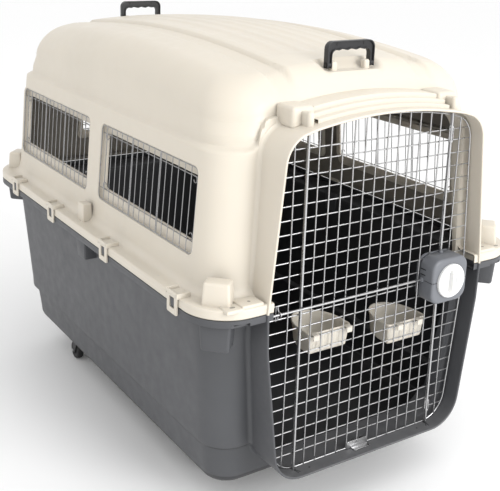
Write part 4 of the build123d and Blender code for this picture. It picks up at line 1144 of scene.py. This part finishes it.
# ---------------------------------------------------------------- bowls
for label, middle, top, hook_x in (("water_bowl", -98.0, 412.8, 42.0), ("food_bowl", 112.0, 384.8, 28.0)):
    def d_shape(inset, ribs=0.0):
        """Plan of the bowl: ribbed flat face towards the mesh, half-round behind."""
        half, face = 54.0 - inset, -553.6 + inset
        centre = -553.6 + 30.0
        corner = max(9.0 - inset, 2.0)
        pts = []
        for k in range(49):
            x = -half + corner + (2 * half - 2 * corner) * k / 48
            pts.append((middle + x, face + ribs * (0.5 - 0.5 * math.cos(2 * math.pi * k / 48 * 12))))
        pts += arc_points((middle + half - corner, face + corner), corner, -80, 0, 8)
        back = 76.0 - inset
        for k in range(1, 40):
            a = math.pi * k / 40
            pts.append((middle + half * math.cos(a), centre + back * math.sin(a)))
        pts += arc_points((middle - half + corner, face + corner), corner, 180, 260, 8)
        return pts
    rings = []
    low = top - 49.6
    for inset, ribs, z in ((14, 0, low), (10, 0, low + 0.6), (7.5, 0, low + 3), (6.2, 0.6, low + 8),
                           (4.5, 1.4, low + 24), (3.2, 1.4, top - 8), (2.8, 1.0, top - 5.5),
                           (0.8, 0, top - 4.6), (0.1, 0, top - 3.8), (0.0, 0, top - 2.0),
                           (0.5, 0, top - 0.4),
                           (1.4, 0, top), (3.6, 0, top - 0.6), (5.4, 0, top - 3), (6.4, 0, top - 20),
                           (8.6, 0, low + 6), (12.0, 0, low + 3.6), (18.0, 0, low + 3)):
        rings.append([(x, y, z) for x, y in d_shape(inset, ribs)])
    parts = [loft(rings, cap_first=True, cap_last=True)]
    for x in (middle - hook_x, middle + hook_x):
        parts.append(block((x - 7, -563.3, top - 2.9), (x + 7, -551.5, top - 0.1), 0.9))
        parts.append(block((x - 7, -563.3, top - 12.8), (x + 7, -560.7, top - 0.1), 0.9))
    piece(label + "_looks", *join_parts(parts), BOWL_CREAM, label, "cream_bowl", (label,), sharp=50)

# ---------------------------------------------------------------- rim clips with their catches
def frame_ring(outer, inner, place, w0, w1, soft=0.8):
    """Flat frame between two outlines with softened edges."""
    loops = []
    for (pts, way) in ((outer, -1), (inner, 1)):
        seq = [(soft, w0), (0.25 * soft, w0 + 0.3 * soft), (0.0, w0 + soft),
               (0.0, w1 - soft), (0.25 * soft, w1 - 0.3 * soft), (soft, w1)]
        middle = sum(v for _, v in pts) / len(pts)
        for share, w in seq[::-way]:
            shift = way * share * 0.7
            loops.append([place(u + shift * (1 if u > 0 else -1), v + shift * (1 if v > middle else -1), w)
                          for u, v in pts])
    loops.append(loops[0])
    return loft(loops)


catches, hinge_pads = [], []
for number, y in enumerate(CLIPS, start=1):
    for side, word in ((-1, "left"), (1, "right")):

        def place(u, v, w):
            return side * (RIM_HALF + w), y + side * u, v

        outer = rounded(CLIP_HALF, (CLIP_TOP - CLIP_LOW) / 2, 3.5, 4, 0, (CLIP_TOP + CLIP_LOW) / 2)
        inner = rounded(9, 11.0, 2.0, 4, 0, 501.5)
        parts = [frame_ring(outer, inner, place, 0.6, 4.6)]
        parts.append(lathe([(-19, 2.6), (-18.4, 3.6), (18.4, 3.6), (19, 2.6)], place(0, 520.5, 3.0),
                           (0, 1, 0), 20))
        label = f"rim_clip_{word}_{number}"
        parts.append(lathe([(-22.4, 2.15), (22.4, 2.15)], place(0, 520.5, 3.0), (0, 1, 0), 16))
        piece(label + "_looks", *join_parts(parts), CREAM, label, "cream_clip", (label,), sharp=50)
        rim_x = side * RIM_HALF
        catches.append(block((rim_x - side * 3, y - 7.4, 492.2), (rim_x + side * 3.3, y + 7.4, 510.2), 1.4))
        catches.append(block((rim_x - side, y - 8.9, 490.8), (rim_x + side * 0.35, y + 8.9, 512.2), 0.1, 0,
                             1))
        for lug_y in (y - 21.5, y + 21.5):
            hinge_pads.append(block((rim_x - side * 24, lug_y - 1.9, 514),
                                    (rim_x + side * 6.2, lug_y + 1.9, 524.8), 1.4, 0.3))
        hinge_pads.append(block((rim_x - side * 26, y - 20, 514), (rim_x - side * 4, y + 20, 519.4), 1.8,
                                0.6))
piece("clip_catches", *join_parts(catches), *ON_BASE, sharp=50)
piece("clip_lugs", *join_parts(hinge_pads), *ON_TOP, sharp=50)

# ---------------------------------------------------------------- casters
for end, out, y in (("front", 235.0, -320.0), ("rear", 272.0, 326.0)):
    for side, word in ((-1, "left"), (1, "right")):
        x = side * out
        spot = f"{end}_{word}"
        profile = [(-10, 3.2), (-10, 9), (-8.6, 9.6), (-8.6, 16), (-9.4, 17.4), (-9.6, 20.5), (-8.6, 23.2),
                   (-6.4, 24.6), (-3, 25)]
        profile += [(-along, radius) for along, radius in reversed(profile)]
        piece(f"wheel_{spot}_looks", *lathe(profile, (x, y + TRAIL, 25), (1, 0, 0), 56), RUBBER,
              f"wheel_{spot}", "wheel_rubber", (f"caster_wheel_{spot}",), sharp=35)
        fork = frame["nodes"][f"caster_fork_{spot}"]
        soft = fork.modifiers.new("soft_edges", "BEVEL")
        soft.width = 0.0009
        soft.segments = 2

# ---------------------------------------------------------------- camera, light and floor
camera_data = bpy.data.cameras.new("camera")
camera_data.sensor_width = 36.0
camera_data.lens = 65.1
camera_data.shift_x = 0.0224
camera_data.shift_y = -0.1394
camera = add_object("camera", camera_data)
right = Vector((0.84256, -0.53794, 0.02654))
down = Vector((-0.12299, -0.24013, -0.96292))
forward = Vector((0.52437, 0.80806, -0.26848))
camera.matrix_world = Matrix((
    (right.x, -down.x, -forward.x, -1.164), (right.y, -down.y, -forward.y, -1.843),
    (right.z, -down.z, -forward.z, 1.189), (0, 0, 0, 1)))
bpy.context.scene.camera = camera


def area(name, place, target, size, power):
    """Square lamp aimed at a target."""
    data = bpy.data.lights.new(name, "AREA")
    data.energy = power
    data.size = size
    item = add_object(name, data)
    item.location = place
    item.rotation_euler = (Vector(target) - Vector(place)).to_track_quat("-Z", "Y").to_euler()


area("key", (1.0, -4.4, 2.1), (0, 0, 0.55), 2.2, 125)
area("fill", (-0.3, -1.9, 3.6), (0, -0.2, 0.6), 1.6, 16)
world = bpy.data.worlds.new("studio")
bpy.context.scene.world = world
world.use_nodes = True
world.node_tree.nodes["Background"].inputs["Color"].default_value = (1, 1, 1, 1)
world.node_tree.nodes["Background"].inputs["Strength"].default_value = 1.03
bpy.ops.mesh.primitive_plane_add(size=60.0, location=(0, 0, 0))
floor = bpy.context.object
floor.name = "floor"
floor_looks, _, floor_shader = node_tree("floor_looks")
floor_shader.inputs["Base Color"].default_value = (0.95, 0.95, 0.95, 1)
floor_shader.inputs["Roughness"].default_value = 0.7
floor.data.materials.append(floor_looks)
bpy.context.scene.view_settings.view_transform = "Standard"
bpy.context.scene.cycles.diffuse_bounces = 1
